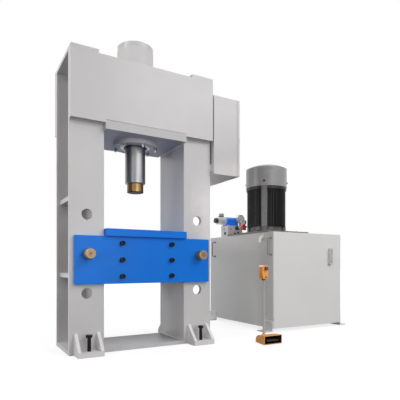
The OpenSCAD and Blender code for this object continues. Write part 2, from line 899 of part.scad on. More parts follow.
// Valves
manifold_x = tank_x + manifold_in_x;
manifold_right = manifold_x + manifold_w;
manifold_top = tank_top + manifold_h;
manifold_mid_x = manifold_x + manifold_w / 2;
valve_x = manifold_mid_x - valve_left;
valve_y = manifold_rear - valve_d / 2 - valve_in;
valve_z = manifold_top + valve_axis_up;
relief_x = manifold_right - relief_in;
relief_z = tank_top + relief_up;
wheel_y = manifold_front - relief_hex_l - relief_sleeve_l - wheel_t - wheel_gap;
gauge_x = manifold_right - gauge_in;
gauge_y = manifold_front + gauge_t / 2 - gauge_ahead;
gauge_z = manifold_top + gauge_stem_l + gauge_d / 2 - gauge_stem_bite;

// Foot station
pedal_y = -column_y - pedal_ahead;
pivot_y = pedal_y + pivot_in;
post_y = pedal_y + pedal_l - post_in;
post_low = pedal_floor_t;
stop_front = post_y - stop_d / 2;
button_z = stop_z + stop_h - button_down;

// A box between two corners
module slab(low, high) {
  translate(low) cube(high - low);
}

// Round bars along each axis
module rod_x(d, low, high) {
  translate([low, 0, 0]) rotate([0, 90, 0]) cylinder(d = d, h = high - low);
}

module rod_y(d, low, high) {
  translate([0, low, 0]) rotate([-90, 0, 0]) cylinder(d = d, h = high - low);
}

module rod_z(d, low, high) {
  translate([0, 0, low]) cylinder(d = d, h = high - low);
}

// The same piece on both sides of a middle plane
module both(normal) {
  children();
  mirror(normal) children();
}

// A rectangle with round corners, centred
module rounded_rect(w, h, r) {
  square([w - 2 * r, h], center = true);
  square([w, h - 2 * r], center = true);
  for (x = [-1, 1], y = [-1, 1])
    translate([x * (w / 2 - r), y * (h / 2 - r)]) circle(r);
}

// A hexagon bar along Z, by its width across the flats
module hex_bar(af, low, high) {
  translate([0, 0, low]) cylinder(d = af / cos(30), h = high - low, $fn = 6);
}

// A cap screw along +Z: its head stands below z = 0 and its shank above
module cap_screw(d, l, head_d) {
  difference() {
    union() {
      rod_z(head_d, -d, 0);
      rod_z(d, -d / 2, l);
    }
    hex_bar(d * socket_share, -d - cut, -d / 2);
  }
}

// The ram's profile: a bar with a round lower edge
module round_nosed_bar(d, l, r) {
  rotate_extrude() {
    square([d / 2 - r, l]);
    translate([0, r]) square([d / 2, l - r]);
    translate([d / 2 - r, r]) circle(r);
  }
}

// Frame

module base_plate() {
  color(grey_paint) slab([-half_w, -column_y, 0], [half_w, column_y, base_t]);
}

module column_plates() {
  color(grey_paint) both([0, 1, 0]) for (x = [-column_x, column_x])
    translate([x, 0, 0]) difference() {
      slab([-column_w / 2, inner_y, base_t], [column_w / 2, column_y, plates_top]);
      for (row = [0 : pin_rows - 1])
        translate([0, 0, pin_row_z + row * pin_pitch]) rod_y(pin_hole_d, inner_y - cut, column_y + cut);
    }
}

module column_webs() {
  color(grey_paint) both([1, 0, 0])
    slab([column_in, -inner_y, base_t], [column_in + web_t, inner_y, plates_top]);
}

module column_ribs() {
  color(grey_paint) both([1, 0, 0])
    for (z = [pin_row_z, top_row_z])
      slab([column_in + web_t, -inner_y, z + rib_over_hole],
        [half_w - rib_setback, inner_y, z + rib_over_hole + rib_t]);
}

module column_caps() {
  color(grey_paint) both([1, 0, 0])
    slab([half_w - cap_w, -crown_y, plates_top], [half_w, crown_y, frame_h]);
}

module crown_plate() {
  difference() {
    slab([-half_w, column_y, crown_low], [half_w, crown_y, plates_top]);
    slab([-column_in, column_y - cut, crown_low - cut], [column_in, crown_y + cut, bed_top]);
  }
}

module crown_front_plate() {
  color(grey_paint) mirror([0, 1, 0]) crown_plate();
}

module crown_rear_plate() {
  color(grey_paint) difference() {
    crown_plate();
    translate([0, 0, port_z]) rod_y(hose_hole_d, column_y - cut, crown_y + cut);
  }
}

module flange_bolt_places() {
  for (i = [0 : flange_bolt_n - 1])
    rotate(flange_bolt_turn + i * 360 / flange_bolt_n) translate([flange_bolt_r, 0, 0]) children();
}

module crown_bed() {
  color(grey_paint) difference() {
    slab([-column_in, -crown_y, bed_low], [column_in, crown_y, bed_top]);
    rod_z(barrel_d + 2 * barrel_clear, bed_low - cut, bed_top + cut);
    flange_bolt_places()
      rod_z(flange_bolt_d + 2 * seat_gap, bed_low - cut, bed_low + flange_bolt_bite + drill_over);
  }
}

module crown_lid() {
  color(grey_paint) difference() {
    slab([-column_in, -column_y, lid_top - lid_t], [column_in, column_y, lid_top]);
    rod_z(barrel_d + 2 * lid_clear, lid_top - lid_t - cut, lid_top + cut);
  }
}

// Feet

module foot_places() {
  both([0, 1, 0])
    for (x = [-column_x, column_x])
      translate([x, -column_y, 0]) children();
}

module gusset() {
  rotate([90, 0, 90]) linear_extrude(gusset_t)
    polygon([[0, 0], [0, gusset_h], [-gusset_crest, gusset_h], [-foot_l, gusset_toe], [-foot_l, 0]]);
}

module press_feet() {
  color(grey_paint) foot_places() difference() {
    union() {
      slab([-foot_w / 2, -foot_l, 0], [foot_w / 2, 0, foot_t]);
      translate([-foot_w / 2, 0, foot_t]) gusset();
      translate([foot_w / 2 - gusset_t, 0, foot_t]) gusset();
    }
    translate([0, -level_bolt_out, 0]) rod_z(level_bolt_d + 2 * seat_gap, -cut, foot_t + cut);
  }
}

module levelling_bolts() {
  color(black_oxide) foot_places() translate([0, -level_bolt_out, 0]) {
    rod_z(level_bolt_d, 0, level_bolt_h - level_head_h / 2);
    hex_bar(level_bolt_af, level_bolt_h - level_head_h, level_bolt_h);
  }
}

// Cylinder

module cylinder_barrel() {
  color(grey_paint) difference() {
    union() {
      rod_z(barrel_d, flange_low, barrel_top);
      rod_z(flange_d, flange_low, bed_low);
    }
    rod_z(bore_d, flange_low - cut, barrel_top + cut);
    flange_bolt_places() rod_z(flange_bolt_d + 2 * seat_gap, flange_low - cut, bed_low + cut);
    translate([0, 0, port_z]) rod_y(port_d, 0, barrel_d);
  }
}

module cylinder_cap() {
  color(grey_paint) difference() {
    union() {
      rod_z(barrel_d, barrel_top, cylinder_top - end_cap_edge);
      translate([0, 0, cylinder_top - end_cap_edge])
        cylinder(d1 = barrel_d, d2 = barrel_d - 2 * end_cap_edge, h = end_cap_edge);
    }
    rod_z(port_d, barrel_top - cut, cylinder_top + cut);
  }
}

module cylinder_gland() {
  color(plain_steel) difference() {
    rod_z(bore_d - 2 * seat_gap, flange_low, gland_top);
    rod_z(rod_run_d, flange_low - cut, gland_top + cut);
    rod_z(wiper_d + 2 * seat_gap, flange_low - cut, flange_low + wiper_h);
  }
}

module rod_wiper() {
  color(rubber) difference() {
    rod_z(wiper_d, flange_low - wiper_lip, flange_low + wiper_h);
    rod_z(rod_run_d, flange_low - wiper_lip - cut, flange_low + wiper_h + cut);
  }
}

module flange_bolts() {
  color(black_oxide) translate([0, 0, flange_low]) flange_bolt_places() {
    rod_z(flange_bolt_d, -flange_bolt_d - flange_stud_tip, flange_t + flange_bolt_bite);
    hex_bar(flange_nut_af, -flange_bolt_d, 0);
  }
}

// Ram

module ram_rod() {
  color(bright_steel) difference() {
    union() {
      translate([0, 0, rod_low]) round_nosed_bar(rod_d, piston_low - rod_low, rod_round);
      rod_z(rod_spigot_d, piston_low, piston_top);
    }
    rod_z(nose_spigot_d + 2 * seat_gap, rod_low - cut, rod_low + nose_spigot_l);
  }
}

// Heights of the piston's two seal grooves
function seal_places() = [for (i = [1, 2]) piston_top - piston_head_l + i * piston_head_l / 3 - seal_w / 2];

module ram_piston() {
  color(plain_steel) difference() {
    union() {
      rod_z(piston_skirt_d, piston_low, piston_top);
      rod_z(piston_d, piston_top - piston_head_l, piston_top);
    }
    rod_z(rod_spigot_d + 2 * seat_gap, piston_low - cut, piston_top + cut);
    for (z = seal_places()) difference() {
      rod_z(bore_d, z, z + seal_w);
      rod_z(piston_d - 2 * seal_groove, z - cut, z + seal_w + cut);
    }
  }
}

module piston_seals() {
  color(rubber) for (z = seal_places()) difference() {
    rod_z(piston_d, z, z + seal_w);
    rod_z(piston_d - 2 * seal_groove + 2 * seat_gap, z - cut, z + seal_w + cut);
  }
}

module ram_nose() {
  color(brass) {
    translate([0, 0, nose_low]) round_nosed_bar(nose_d, nose_h, nose_round);
    rod_z(nose_spigot_d, rod_low - fuse, rod_low + nose_spigot_l);
  }
}

// Table

module table_bolt_places() {
  for (x = [-cross_web_x, cross_web_x], row = [0 : table_bolt_rows - 1])
    translate([x, 0, table_low + table_bolt_up + row * table_bolt_pitch]) children();
}

module table_plate() {
  difference() {
    slab([-table_end, table_in_y, table_low], [table_end, table_out_y, table_plate_top]);
    for (x = [-column_x, column_x])
      translate([x, 0, pin_z]) rod_y(pin_hole_d, table_in_y - cut, table_out_y + cut);
    table_bolt_places() rod_y(table_bolt_d + 2 * seat_gap, table_in_y - cut, table_out_y + cut);
  }
}

module table_front_plate() {
  color(blue_paint) mirror([0, 1, 0]) table_plate();
}

module table_rear_plate() {
  color(blue_paint) table_plate();
}

module table_webs() {
  color(blue_paint) difference() {
    for (x = [-cross_web_x, cross_web_x])
      slab([x - cross_web_t / 2, -table_in_y, table_low], [x + cross_web_t / 2, table_in_y, table_plate_top]);
    both([0, 1, 0]) table_bolt_places()
      rod_y(table_bolt_d + 2 * seat_gap, table_in_y - table_bolt_bite - drill_over, table_in_y + cut);
  }
}

module table_top() {
  depth = table_out_y + table_lip;
  width = 2 * (column_in - table_side_gap);
  color(blue_paint) translate([-width / 2, 0, 0]) rotate([90, 0, 90]) linear_extrude(width)
    polygon([[-depth, table_plate_top], [depth, table_plate_top], [depth, table_top_z - table_edge],
      [depth - table_edge, table_top_z], [table_edge - depth, table_top_z],
      [-depth, table_top_z - table_edge]]);
}

module table_bolts() {
  color(black_oxide) both([0, 1, 0]) table_bolt_places() translate([0, -table_out_y, 0])
    rotate([-90, 0, 0]) cap_screw(table_bolt_d, table_plate_t + table_bolt_bite, table_bolt_head_d);
}

module table_pin() {
  half = table_out_y + pin_proud;
  difference() {
    rotate([-90, 0, 0]) rotate_extrude()
      polygon([[0, -half], [pin_d / 2 - pin_chamfer, -half], [pin_d / 2, pin_chamfer - half],
        [pin_d / 2, half - pin_chamfer], [pin_d / 2 - pin_chamfer, half], [0, half]]);
    both([0, 1, 0]) translate([0, -half, 0]) rotate([-90, 0, 0])
      cylinder(d1 = pin_centre_d, d2 = 0, h = pin_centre_d / 2);
  }
}

module left_pin() {
  color(tan_steel) translate([-column_x, 0, pin_z]) table_pin();
}

module right_pin() {
  color(tan_steel) translate([column_x, 0, pin_z]) table_pin();
}

// Control cabinet

module gland_places() {
  for (i = [0 : gland_n - 1])
    translate([cabinet_x + cabinet_w / 2, cabinet_d / 2 - gland_pitch * (i + 1), 0]) children();
}

module hinge_places() {
  for (z = [cabinet_z + hinge_in, cabinet_top - hinge_in])
    translate([hinge_x, hinge_y, z]) children();
}

module cabinet_shell() {
  side = cabinet_d / 2;
  leaf_y = cabinet_d / 2 - hinge_y;
  color(grey_paint) {
    difference() {
      union() {
        slab([cabinet_x, -side, cabinet_z], [shell_front, side, cabinet_top]);
        for (y = [-1, 1], z = [cabinet_z + wall_pad_in, cabinet_top - wall_pad_in])
          translate([0, y * (inner_y + column_plate_t / 2), z])
            slab([half_w, -column_plate_t / 2, -wall_pad_h / 2],
              [cabinet_x + cabinet_sheet, column_plate_t / 2, wall_pad_h / 2]);
      }
      slab([cabinet_x + cabinet_sheet, cabinet_sheet - side, cabinet_z + cabinet_sheet],
        [shell_front - cabinet_sheet, side - cabinet_sheet, cabinet_top - cabinet_sheet]);
      slab([shell_front - cabinet_sheet - cut, cabinet_lip - side, cabinet_z + cabinet_lip],
        [shell_front + cut, side - cabinet_lip, cabinet_top - cabinet_lip]);
      gland_places() rod_z(gland_d + 2 * seat_gap, cabinet_z - cut, cabinet_z + cabinet_sheet + cut);
    }
    hinge_places() {
      rod_z(knuckle_d, -knuckle_h, 0);
      rod_z(hinge_pin_d, -knuckle_h, knuckle_h);
      slab([shell_front - hinge_x - leaf_w, leaf_y, -knuckle_h], [shell_front - hinge_x, leaf_y + leaf_t, 0]);
      slab([shell_front - hinge_x - leaf_t, leaf_y + leaf_gap, -knuckle_h],
        [0, leaf_y + leaf_gap + leaf_t, 0]);
    }
  }
}

module cabinet_door() {
  side = cabinet_d / 2;
  low_x = cabinet_front - door_depth;
  leaf_y = cabinet_d / 2 - hinge_y;
  color(grey_paint) difference() {
    union() {
      difference() {
        slab([low_x, -side, cabinet_z], [cabinet_front, side, cabinet_top]);
        slab([low_x - cut, cabinet_sheet - side, cabinet_z + cabinet_sheet],
          [cabinet_front - cabinet_sheet, side - cabinet_sheet, cabinet_top - cabinet_sheet]);
      }
      hinge_places() {
        rod_z(knuckle_d, slide_gap, knuckle_h);
        slab([leaf_t - door_depth / 2, leaf_y, slide_gap], [door_depth / 2 - leaf_t, 0, knuckle_h]);
      }
    }
    hinge_places() rod_z(hinge_pin_d + 2 * slide_gap, -cut, knuckle_h + cut);
    translate([0, lock_y, lock_z]) rod_x(lock_d + 2 * slide_gap, low_x, cabinet_front + cut);
  }
}

module door_lock() {
  cam_x = shell_front - cabinet_sheet - lock_cam_gap - lock_cam_t;
  collar_x = cabinet_front + lock_collar_t;
  color(dark_paint) translate([0, lock_y, lock_z]) {
    rod_x(lock_d, cam_x, collar_x);
    rod_x(lock_collar_d, cabinet_front + slide_gap, collar_x);
    slab([collar_x - fuse, -lock_grip_w / 2, -lock_grip_l / 2],
      [collar_x + lock_grip_h, lock_grip_w / 2, lock_grip_l / 2]);
    slab([cam_x, -lock_d / 2, 0], [cam_x + lock_cam_t, lock_d / 2, lock_cam_l]);
  }
}

module mounting_plate() {
  side = cabinet_d / 2 - plate_margin;
  low = cabinet_z + plate_margin;
  high = cabinet_top - plate_margin;
  color(plain_steel) {
    slab([plate_x, -side, low], [plate_x + plate_t, side, high]);
    for (y = [stud_in - side, side - stud_in], z = [low + stud_in, high - stud_in])
      translate([0, y, z]) rod_x(stud_d, plate_x - plate_back, plate_x + plate_t / 2);
  }
}

// One contactor: a base, a narrower head and two rows of terminals
module contactor(w, h) {
  head_w = w / 2 - contactor_step;
  slab([0, -w / 2, -h / 2], [contactor_base, w / 2, h / 2]);
  slab([contactor_base, -head_w, -h / 4], [contactor_base + contactor_head, head_w, h / 4]);
  both([0, 0, 1]) for (i = [-1 : 1])
    translate([contactor_base, i * w / 3, h / 2 - terminal_block - contactor_step])
      slab([0, -terminal_block / 2, 0], [terminal_block, terminal_block / 2, terminal_block]);
}

module relay() {
  slab([0, -relay_w / 2, -relay_h / 2], [relay_t, relay_w / 2, relay_h / 2]);
  slab([relay_t, -relay_w / 3, -relay_h / 4], [relay_t + relay_head_t, relay_w / 3, relay_h / 4]);
}

// A box standing on the mounting plate, centred on its place
module gear_box(size) {
  slab([0, -size.y / 2, -size.z / 2], [size.x, size.y / 2, size.z / 2]);
}

module control_gear() {
  color(dark_paint) translate([gear_x, 0, cabinet_z + cabinet_h / 2]) {
    for (i = [0 : contactor_n - 1])
      translate([0, contactor_y + i * contactor_pitch, upper_row]) contactor(contactor_w, contactor_h);
    translate([0, breaker_y, upper_row]) contactor(breaker_w, breaker_h);
    for (i = [0 : relay_n - 1]) translate([0, relay_y + i * relay_pitch, lower_row]) relay();
    translate([0, supply_y, middle_row]) gear_box(supply_size);
    translate([0, timer_y, middle_row]) gear_box(timer_size);
  }
}

module cable_glands() {
  inside = cabinet_z + cabinet_sheet;
  color(rubber) gland_places() {
    rod_z(gland_d, cabinet_z - fuse, inside + gland_thread_l);
    hex_bar(gland_af, cabinet_z - gland_nut_h, cabinet_z);
    rod_z(gland_dome_d, cabinet_z - gland_nut_h - gland_dome_l, cabinet_z - gland_nut_h);
    hex_bar(gland_af, inside, inside + gland_lock_h);
  }
}

// Oil tank

module tank_shell() {
  mid = [tank_x + tank_w / 2, tank_y + tank_d / 2];
  inner_r = tank_corner_r - tank_wall > 0 ? tank_corner_r - tank_wall : 1;
  color(grey_paint) difference() {
    translate([mid.x, mid.y, tank_up]) linear_extrude(tank_h) rounded_rect(tank_w, tank_d, tank_corner_r);
    translate([mid.x, mid.y, tank_up + tank_wall]) linear_extrude(tank_h - tank_wall - tank_top_t)
      rounded_rect(tank_w - 2 * tank_wall, tank_d - 2 * tank_wall, inner_r);
    translate([motor_x, motor_y, 0]) rod_z(tank_hole_d, tank_top - tank_top_t - cut, tank_top + cut);
  }
}

module tank_cover() {
  cover_d = cover_rear - tank_y - cover_front_in;
  mid = [motor_x - cover_left + cover_w / 2, cover_rear - cover_d / 2, tank_top];
  color(dark_paint) difference() {
    translate(mid) linear_extrude(cover_t) rounded_rect(cover_w, cover_d, cover_r);
    at_motor() rod_z(coupling_d + 2 * cover_hole_clear, tank_top - cut, cover_top + cut);
  }
}

module tank_foot() {
  slab([-tank_foot_t, 0, 0], [0, tank_foot_w, tank_foot_h]);
  slab([-tank_foot_l, 0, 0], [0, tank_foot_w, tank_foot_t]);
}

module tank_feet() {
  mid = [tank_x + tank_w / 2, tank_y + tank_d / 2, 0];
  corner = [-tank_w / 2, tank_corner_r - tank_d / 2, 0];
  color(dark_paint) translate(mid)
    both([1, 0, 0]) both([0, 1, 0]) translate(corner) tank_foot();
}

// A bow handle on the plane x = 0, standing out to -X
module handle() {
  straight = handle_l / 2 - handle_bend;
  both([0, 0, 1]) {
    translate([0, 0, handle_l / 2]) {
      rod_x(handle_bar_d, handle_bend - handle_reach, 0);
      rod_x(handle_bar_d + 2 * handle_foot_rim, -handle_foot_t, 0);
    }
    translate([handle_bend - handle_reach, 0, straight]) rotate([90, -90, 0])
      rotate_extrude(angle = 90) translate([handle_bend, 0]) circle(d = handle_bar_d);
  }
  translate([-handle_reach, 0, 0]) rod_z(handle_bar_d, -straight, straight);
}

module tank_handles() {
  color(dark_paint) for (y = [tank_y + handle_front_in, tank_rear - handle_rear_in])
    translate([tank_x, y, tank_top - handle_down]) handle();
}

module level_gauge() {
  place = [tank_x + tank_w - level_in, tank_y, tank_top - level_down];
  color(dark_paint) translate(place) rotate([90, 0, 0]) difference() {
    linear_extrude(level_t) rounded_rect(level_w, level_h, level_w / 2 - cut);
    translate([0, 0, level_t / 3]) linear_extrude(level_t)
      rounded_rect(level_window_w, level_window_h, level_window_w / 2 - cut);
  }
}

module elbow_port() {
  color(bright_steel) translate([tank_x, tank_y + elbow_in, tank_top - elbow_down]) {
    difference() {
      rod_x(elbow_d, -elbow_bend / 2, 0);
      rod_x(elbow_bore, -elbow_bend, 0);
    }
    rod_x(elbow_collar_d, -elbow_collar_t, 0);
    translate([-elbow_bend / 2, 0, -elbow_bend]) {
      rotate([90, -90, 0]) rotate_extrude(angle = 90) translate([elbow_bend, 0]) difference() {
        circle(d = elbow_d);
        circle(d = elbow_bore);
      }
      translate([-elbow_bend, 0, 0]) difference() {
        union() {
          rod_z(elbow_d, -elbow_neck_l, 0);
          rod_z(elbow_collar_d, -elbow_neck_l - elbow_end_l, -elbow_neck_l);
        }
        rod_z(elbow_bore, -elbow_neck_l - elbow_end_l - cut, cut);
      }
    }
  }
}

// Motor

module at_motor() {
  translate([motor_x, motor_y, 0]) children();
}

// Section of the finned body: straight fins on four sides and smooth pads at the corners
module motor_section() {
  circle(d = motor_core_d);
  intersection() {
    circle(d = motor_d);
    for (side = [0 : 90 : 270]) rotate(side) {
      for (i = [-(fin_n - 1) / 2 : (fin_n - 1) / 2])
        translate([i * fin_pitch - fin_t / 2, 0]) square([fin_t, motor_d / 2]);
      rotate(45) translate([-pad_w / 2, 0]) square([pad_w, motor_d / 2]);
    }
  }
}

module motor_housing() {
  shield_low = cover_top + motor_flange_t;
  boss_r = motor_flange_d / 2 - motor_boss_d / 2;
  terminal_z = motor_top - terminal_down - terminal_h;
  color(black_oxide) at_motor() difference() {
    union() {
      rod_z(motor_flange_d, cover_top, shield_low);
      rod_z(motor_shield_d, shield_low, motor_body_z);
      for (a = [45 : 90 : 315])
        rotate(a) translate([boss_r, 0, 0]) rod_z(motor_boss_d, shield_low, motor_body_z);
      translate([0, 0, motor_body_z]) linear_extrude(motor_body_h) motor_section();
      rod_z(cowl_seat_d, motor_top - cowl_seat_h, motor_top + cowl_seat_h);
      rotate(45) translate([0, 0, terminal_z])
        slab([motor_core_d / 2, -terminal_w / 2, 0], [motor_d / 2 + terminal_d, terminal_w / 2, terminal_h]);
    }
    rod_z(shaft_d + 2 * slide_gap, cover_top - cut, motor_top + cowl_seat_h + cut);
    rod_z(rotor_d + 2 * rotor_gap, rotor_z - rotor_end_gap, rotor_z + rotor_l + rotor_end_gap);
  }
}

module fan_cowl() {
  outer = cowl_d / 2;
  flat = cowl_top_d / 2;
  color(plain_steel) at_motor() difference() {
    rotate_extrude() polygon([[outer - cowl_sheet, cowl_low], [outer, cowl_low], [outer, cowl_shoulder],
      [flat, cowl_top], [0, cowl_top], [0, cowl_top - cowl_sheet], [flat - cowl_sheet, cowl_top - cowl_sheet],
      [outer - cowl_sheet, cowl_shoulder - cowl_sheet]]);
    for (ring = [1 : cowl_rings], i = [0 : 6 * ring - 1])
      rotate(i * 60 / ring) translate([ring * cowl_ring_pitch, 0, 0])
        rod_z(cowl_hole_d, cowl_top - 2 * cowl_sheet, cowl_top + cut);
  }
}

module motor_fan() {
  color(rubber) at_motor() translate([0, 0, fan_z]) difference() {
    union() {
      rod_z(fan_hub_d, 0, fan_h);
      rod_z(fan_d, 0, fan_disc_t);
      for (i = [0 : fan_blades - 1]) rotate(i * 360 / fan_blades)
        slab([fan_hub_d / 3, -fan_blade_t / 2, 0], [fan_d / 2 - fan_blade_in, fan_blade_t / 2, fan_h]);
    }
    rod_z(shaft_d + 2 * seat_gap, -cut, fan_h + cut);
  }
}

module motor_shaft() {
  color(plain_steel) at_motor() {
    rod_z(shaft_d, coupling_mid + coupling_gap / 2, fan_z + fan_h + shaft_over);
    rod_z(rotor_d, rotor_z, rotor_z + rotor_l);
  }
}

// Pump

module bell_housing() {
  outer = bell_d / 2;
  floor_hole = bell_hole_d / 2;
  color(plain_steel) at_motor() rotate_extrude()
    polygon([[floor_hole, bell_low], [outer, bell_low], [outer, tank_top - bell_wall],
      [bell_flange_d / 2, tank_top - bell_wall], [bell_flange_d / 2, tank_top],
      [outer - bell_wall, tank_top], [outer - bell_wall, bell_low + bell_wall],
      [floor_hole, bell_low + bell_wall]]);
}

module shaft_coupling() {
  groove_low = coupling_mid - coupling_groove_w / 2;
  color(dark_paint) at_motor() difference() {
    rod_z(coupling_d, coupling_low, coupling_low + coupling_h);
    rod_z(shaft_d + 2 * seat_gap, coupling_mid, coupling_low + coupling_h + cut);
    rod_z(pump_shaft_d + 2 * seat_gap, coupling_low - cut, coupling_mid + cut);
    difference() {
      rod_z(coupling_d + cut, groove_low, groove_low + coupling_groove_w);
      rod_z(coupling_d - 2 * coupling_groove, groove_low - cut, groove_low + coupling_groove_w + cut);
    }
  }
}

module pump_body() {
  color(plain_steel) at_motor() difference() {
    union() {
      rod_z(pump_flange_d, bell_low - pump_flange_t, bell_low);
      rod_z(pump_d, pump_low, bell_low);
      rod_z(suction_d, pump_low - suction_l, pump_low);
    }
    rod_z(pump_shaft_d + 2 * slide_gap, pump_low + pump_seat, bell_low + cut);
    rod_z(suction_d - 2 * suction_wall, pump_low - suction_l - cut, pump_low - suction_floor);
  }
}

module pump_shaft() {
  color(bright_steel) at_motor()
    rod_z(pump_shaft_d, pump_low + pump_seat + slide_gap, coupling_mid - coupling_gap / 2);
}

// Valves

module relief_axis() {
  translate([relief_x, manifold_front, relief_z]) children();
}

module manifold() {
  color(plain_steel) difference() {
    slab([manifold_x, manifold_front, tank_top], [manifold_right, manifold_rear, manifold_top]);
    for (side = [-1, 1])
      translate([manifold_mid_x + side * manifold_port_pitch / 2, manifold_rear, tank_top + manifold_port_up])
        rod_y(port_d, -manifold_port_l, cut);
    relief_axis() rod_y(relief_thread_d + 2 * seat_gap, -cut, relief_thread_l + drill_over);
    translate([gauge_x, gauge_y, manifold_top])
      rod_z(gauge_thread_d + 2 * seat_gap, -gauge_thread_l - drill_over, cut);
  }
}

module valve_body() {
  color(blue_paint) translate([valve_x, valve_y, manifold_top]) difference() {
    union() {
      slab([-valve_w / 2, -valve_d / 2, 0], [valve_w / 2, valve_d / 2, valve_foot_h]);
      translate([0, 0, valve_axis_up]) rod_x(valve_round_d, -valve_w / 2, valve_w / 2);
    }
    translate([0, 0, valve_axis_up]) rod_x(spool_d + 2 * slide_gap, -valve_w / 2 - cut, valve_w / 2 + cut);
  }
}

module solenoid() {
  mid = solenoid_l / 2;
  seat_z = solenoid_d / 2 + plug_seat_h;
  rod_x(solenoid_d, 0, solenoid_l);
  rod_x(solenoid_nut_d, solenoid_l, solenoid_l + solenoid_nut_l);
  slab([mid - plug_w / 2, -plug_w / 2, 0], [mid + plug_w / 2, plug_w / 2, seat_z]);
  translate([mid - plug_shift, 0, seat_z])
    slab([-plug_w / 2, plug_step - plug_w / 2, 0], [plug_w / 2, plug_w / 2 - plug_step, plug_h]);
}

module solenoids() {
  color(bright_steel) translate([valve_x, valve_y, valve_z]) both([1, 0, 0])
    translate([valve_w / 2, 0, 0]) solenoid();
}

module valve_spool() {
  color(bright_steel) translate([valve_x, valve_y, valve_z]) difference() {
    rod_x(spool_d, -spool_l / 2, spool_l / 2);
    for (side = [-1, 1]) translate([side * spool_l / 4, 0, 0]) difference() {
      rod_x(spool_d + cut, -spool_l / 12, spool_l / 12);
      rod_x(spool_neck_d, -spool_l / 6, spool_l / 6);
    }
  }
}

module relief_valve() {
  sleeve_end = -relief_hex_l - relief_sleeve_l;
  color(plain_steel) relief_axis() {
    rod_y(relief_thread_d, -relief_hex_l / 2, relief_thread_l);
    rotate([90, 0, 0]) hex_bar(relief_af, 0, relief_hex_l);
    rod_y(relief_sleeve_d, sleeve_end, -relief_hex_l / 2);
    rod_y(spindle_d, sleeve_end - wheel_t, sleeve_end + fuse);
  }
}

module handwheel() {
  lobe_r = wheel_d / 2;
  color(red_plastic) translate([relief_x, wheel_y + wheel_t, relief_z]) rotate([90, 0, 0]) difference() {
    linear_extrude(wheel_t) {
      circle(d = wheel_d);
      for (i = [0 : lobes - 1]) rotate(90 + i * 360 / lobes) translate([lobe_r, 0]) circle(d = lobe_d);
    }
    rod_z(spindle_d + 2 * slide_gap, -cut, wheel_t - wheel_face_t);
  }
}

module gauge_case() {
  back = gauge_t / 2;
  dial = gauge_recess - gauge_t / 2;
  color(black_oxide) translate([gauge_x, gauge_y, gauge_z]) {
    difference() {
      rod_y(gauge_d, -back, back);
      rod_y(gauge_d - 2 * gauge_rim, -back - cut, dial);
    }
    rod_y(arbor_d, dial - arbor_l, dial + fuse);
  }
  color(brass) translate([gauge_x, gauge_y, manifold_top]) {
    slab([-gauge_stem_af / 2, -gauge_stem_af / 2, 0], [gauge_stem_af / 2, gauge_stem_af / 2, gauge_stem_l]);
    rod_z(gauge_thread_d, -gauge_thread_l, fuse);
  }
}

module gauge_needle() {
  face_y = gauge_y - gauge_t / 2 + gauge_recess;
  color(red_plastic) translate([gauge_x, face_y - needle_off - needle_t, gauge_z]) rotate([-90, 0, 0])
    difference() {
      union() {
        rod_z(arbor_d + 2 * needle_hub_rim, 0, needle_t);
        rotate(needle_rest) slab([0, -needle_w / 2, 0], [needle_l, needle_w / 2, needle_t]);
        rotate(needle_rest) slab([-needle_tail_l, -needle_tail_w / 2, 0], [0, needle_tail_w / 2, needle_t]);
      }
      rod_z(arbor_d + 2 * slide_gap, -cut, needle_t + cut);
    }
}

// Foot station

// Plan of the pedal, narrowing to its back, with the mouth on y = 0
module pedal_plan(inset) {
  polygon([[inset - pedal_w / 2, -cut * inset], [pedal_w / 2 - inset, -cut * inset],
    [pedal_back_w / 2 - inset, pedal_l - inset], [inset - pedal_back_w / 2, pedal_l - inset]]);
}

// Side of the pedal's hood, drawn along Y and up
module hood_side(inset, floor_z) {
  run = pedal_l - hood_l - inset;
  drop = pedal_h - pedal_back_h;
  curve = [for (a = [0 : hood_step : 90]) [hood_l + run * sin(a), pedal_back_h - inset + drop * cos(a)]];
  polygon(concat([[-inset, floor_z], [-inset, pedal_h - inset]], curve, [[pedal_l - inset, floor_z]]));
}

module hood_block(inset, floor_z) {
  intersection() {
    translate([-pedal_w, 0, 0]) rotate([90, 0, 90]) linear_extrude(2 * pedal_w) hood_side(inset, floor_z);
    linear_extrude(pedal_h) pedal_plan(inset);
  }
}

module pedal_housing() {
  color(orange_paint) translate([pedal_x, pedal_y, 0]) difference() {
    union() {
      difference() {
        hood_block(0, 0);
        hood_block(hood_wall, pedal_floor_t);
      }
      translate([0, pedal_l - post_in, 0]) rod_z(post_boss_d, 0, post_boss_h);
    }
    translate([0, pedal_l - post_in, 0]) rod_z(post_d + 2 * seat_gap, post_low, post_boss_h + cut);
    translate([0, pivot_in, pivot_up]) rod_x(pivot_d + 2 * slide_gap, -pedal_w, pedal_w);
  }
}

module treadle() {
  pivot_w = pedal_w - (pedal_w - pedal_back_w) * pivot_in / pedal_l - 2 * pivot_end_gap;
  color(rubber) translate([pedal_x, pivot_y, pivot_up]) {
    rod_x(pivot_d, -pivot_w / 2, pivot_w / 2);
    slab([-treadle_w / 2, treadle_in - pivot_in, -treadle_t / 2], [treadle_w / 2, 0, treadle_t / 2]);
    for (i = [0 : tread_n - 1])
      translate([0, treadle_in - pivot_in + tread_in + i * tread_pitch, treadle_t / 2])
        slab([tread_in - treadle_w / 2, 0, -fuse], [treadle_w / 2 - tread_in, tread_w, tread_h]);
  }
}

module station_post() {
  color(plain_steel) translate([pedal_x, post_y, 0]) rod_z(post_d, post_low, stop_z + post_bite);
}

// Front of the stop box, narrower at its foot
module stop_outline() {
  x = stop_w / 2;
  foot = stop_foot_w / 2;
  side = stop_h - stop_r;
  polygon([[-foot, 0], [foot, 0], [x, stop_taper_h], [x, side], [x - stop_r, stop_h], [stop_r - x, stop_h],
    [-x, side], [-x, stop_taper_h]]);
}

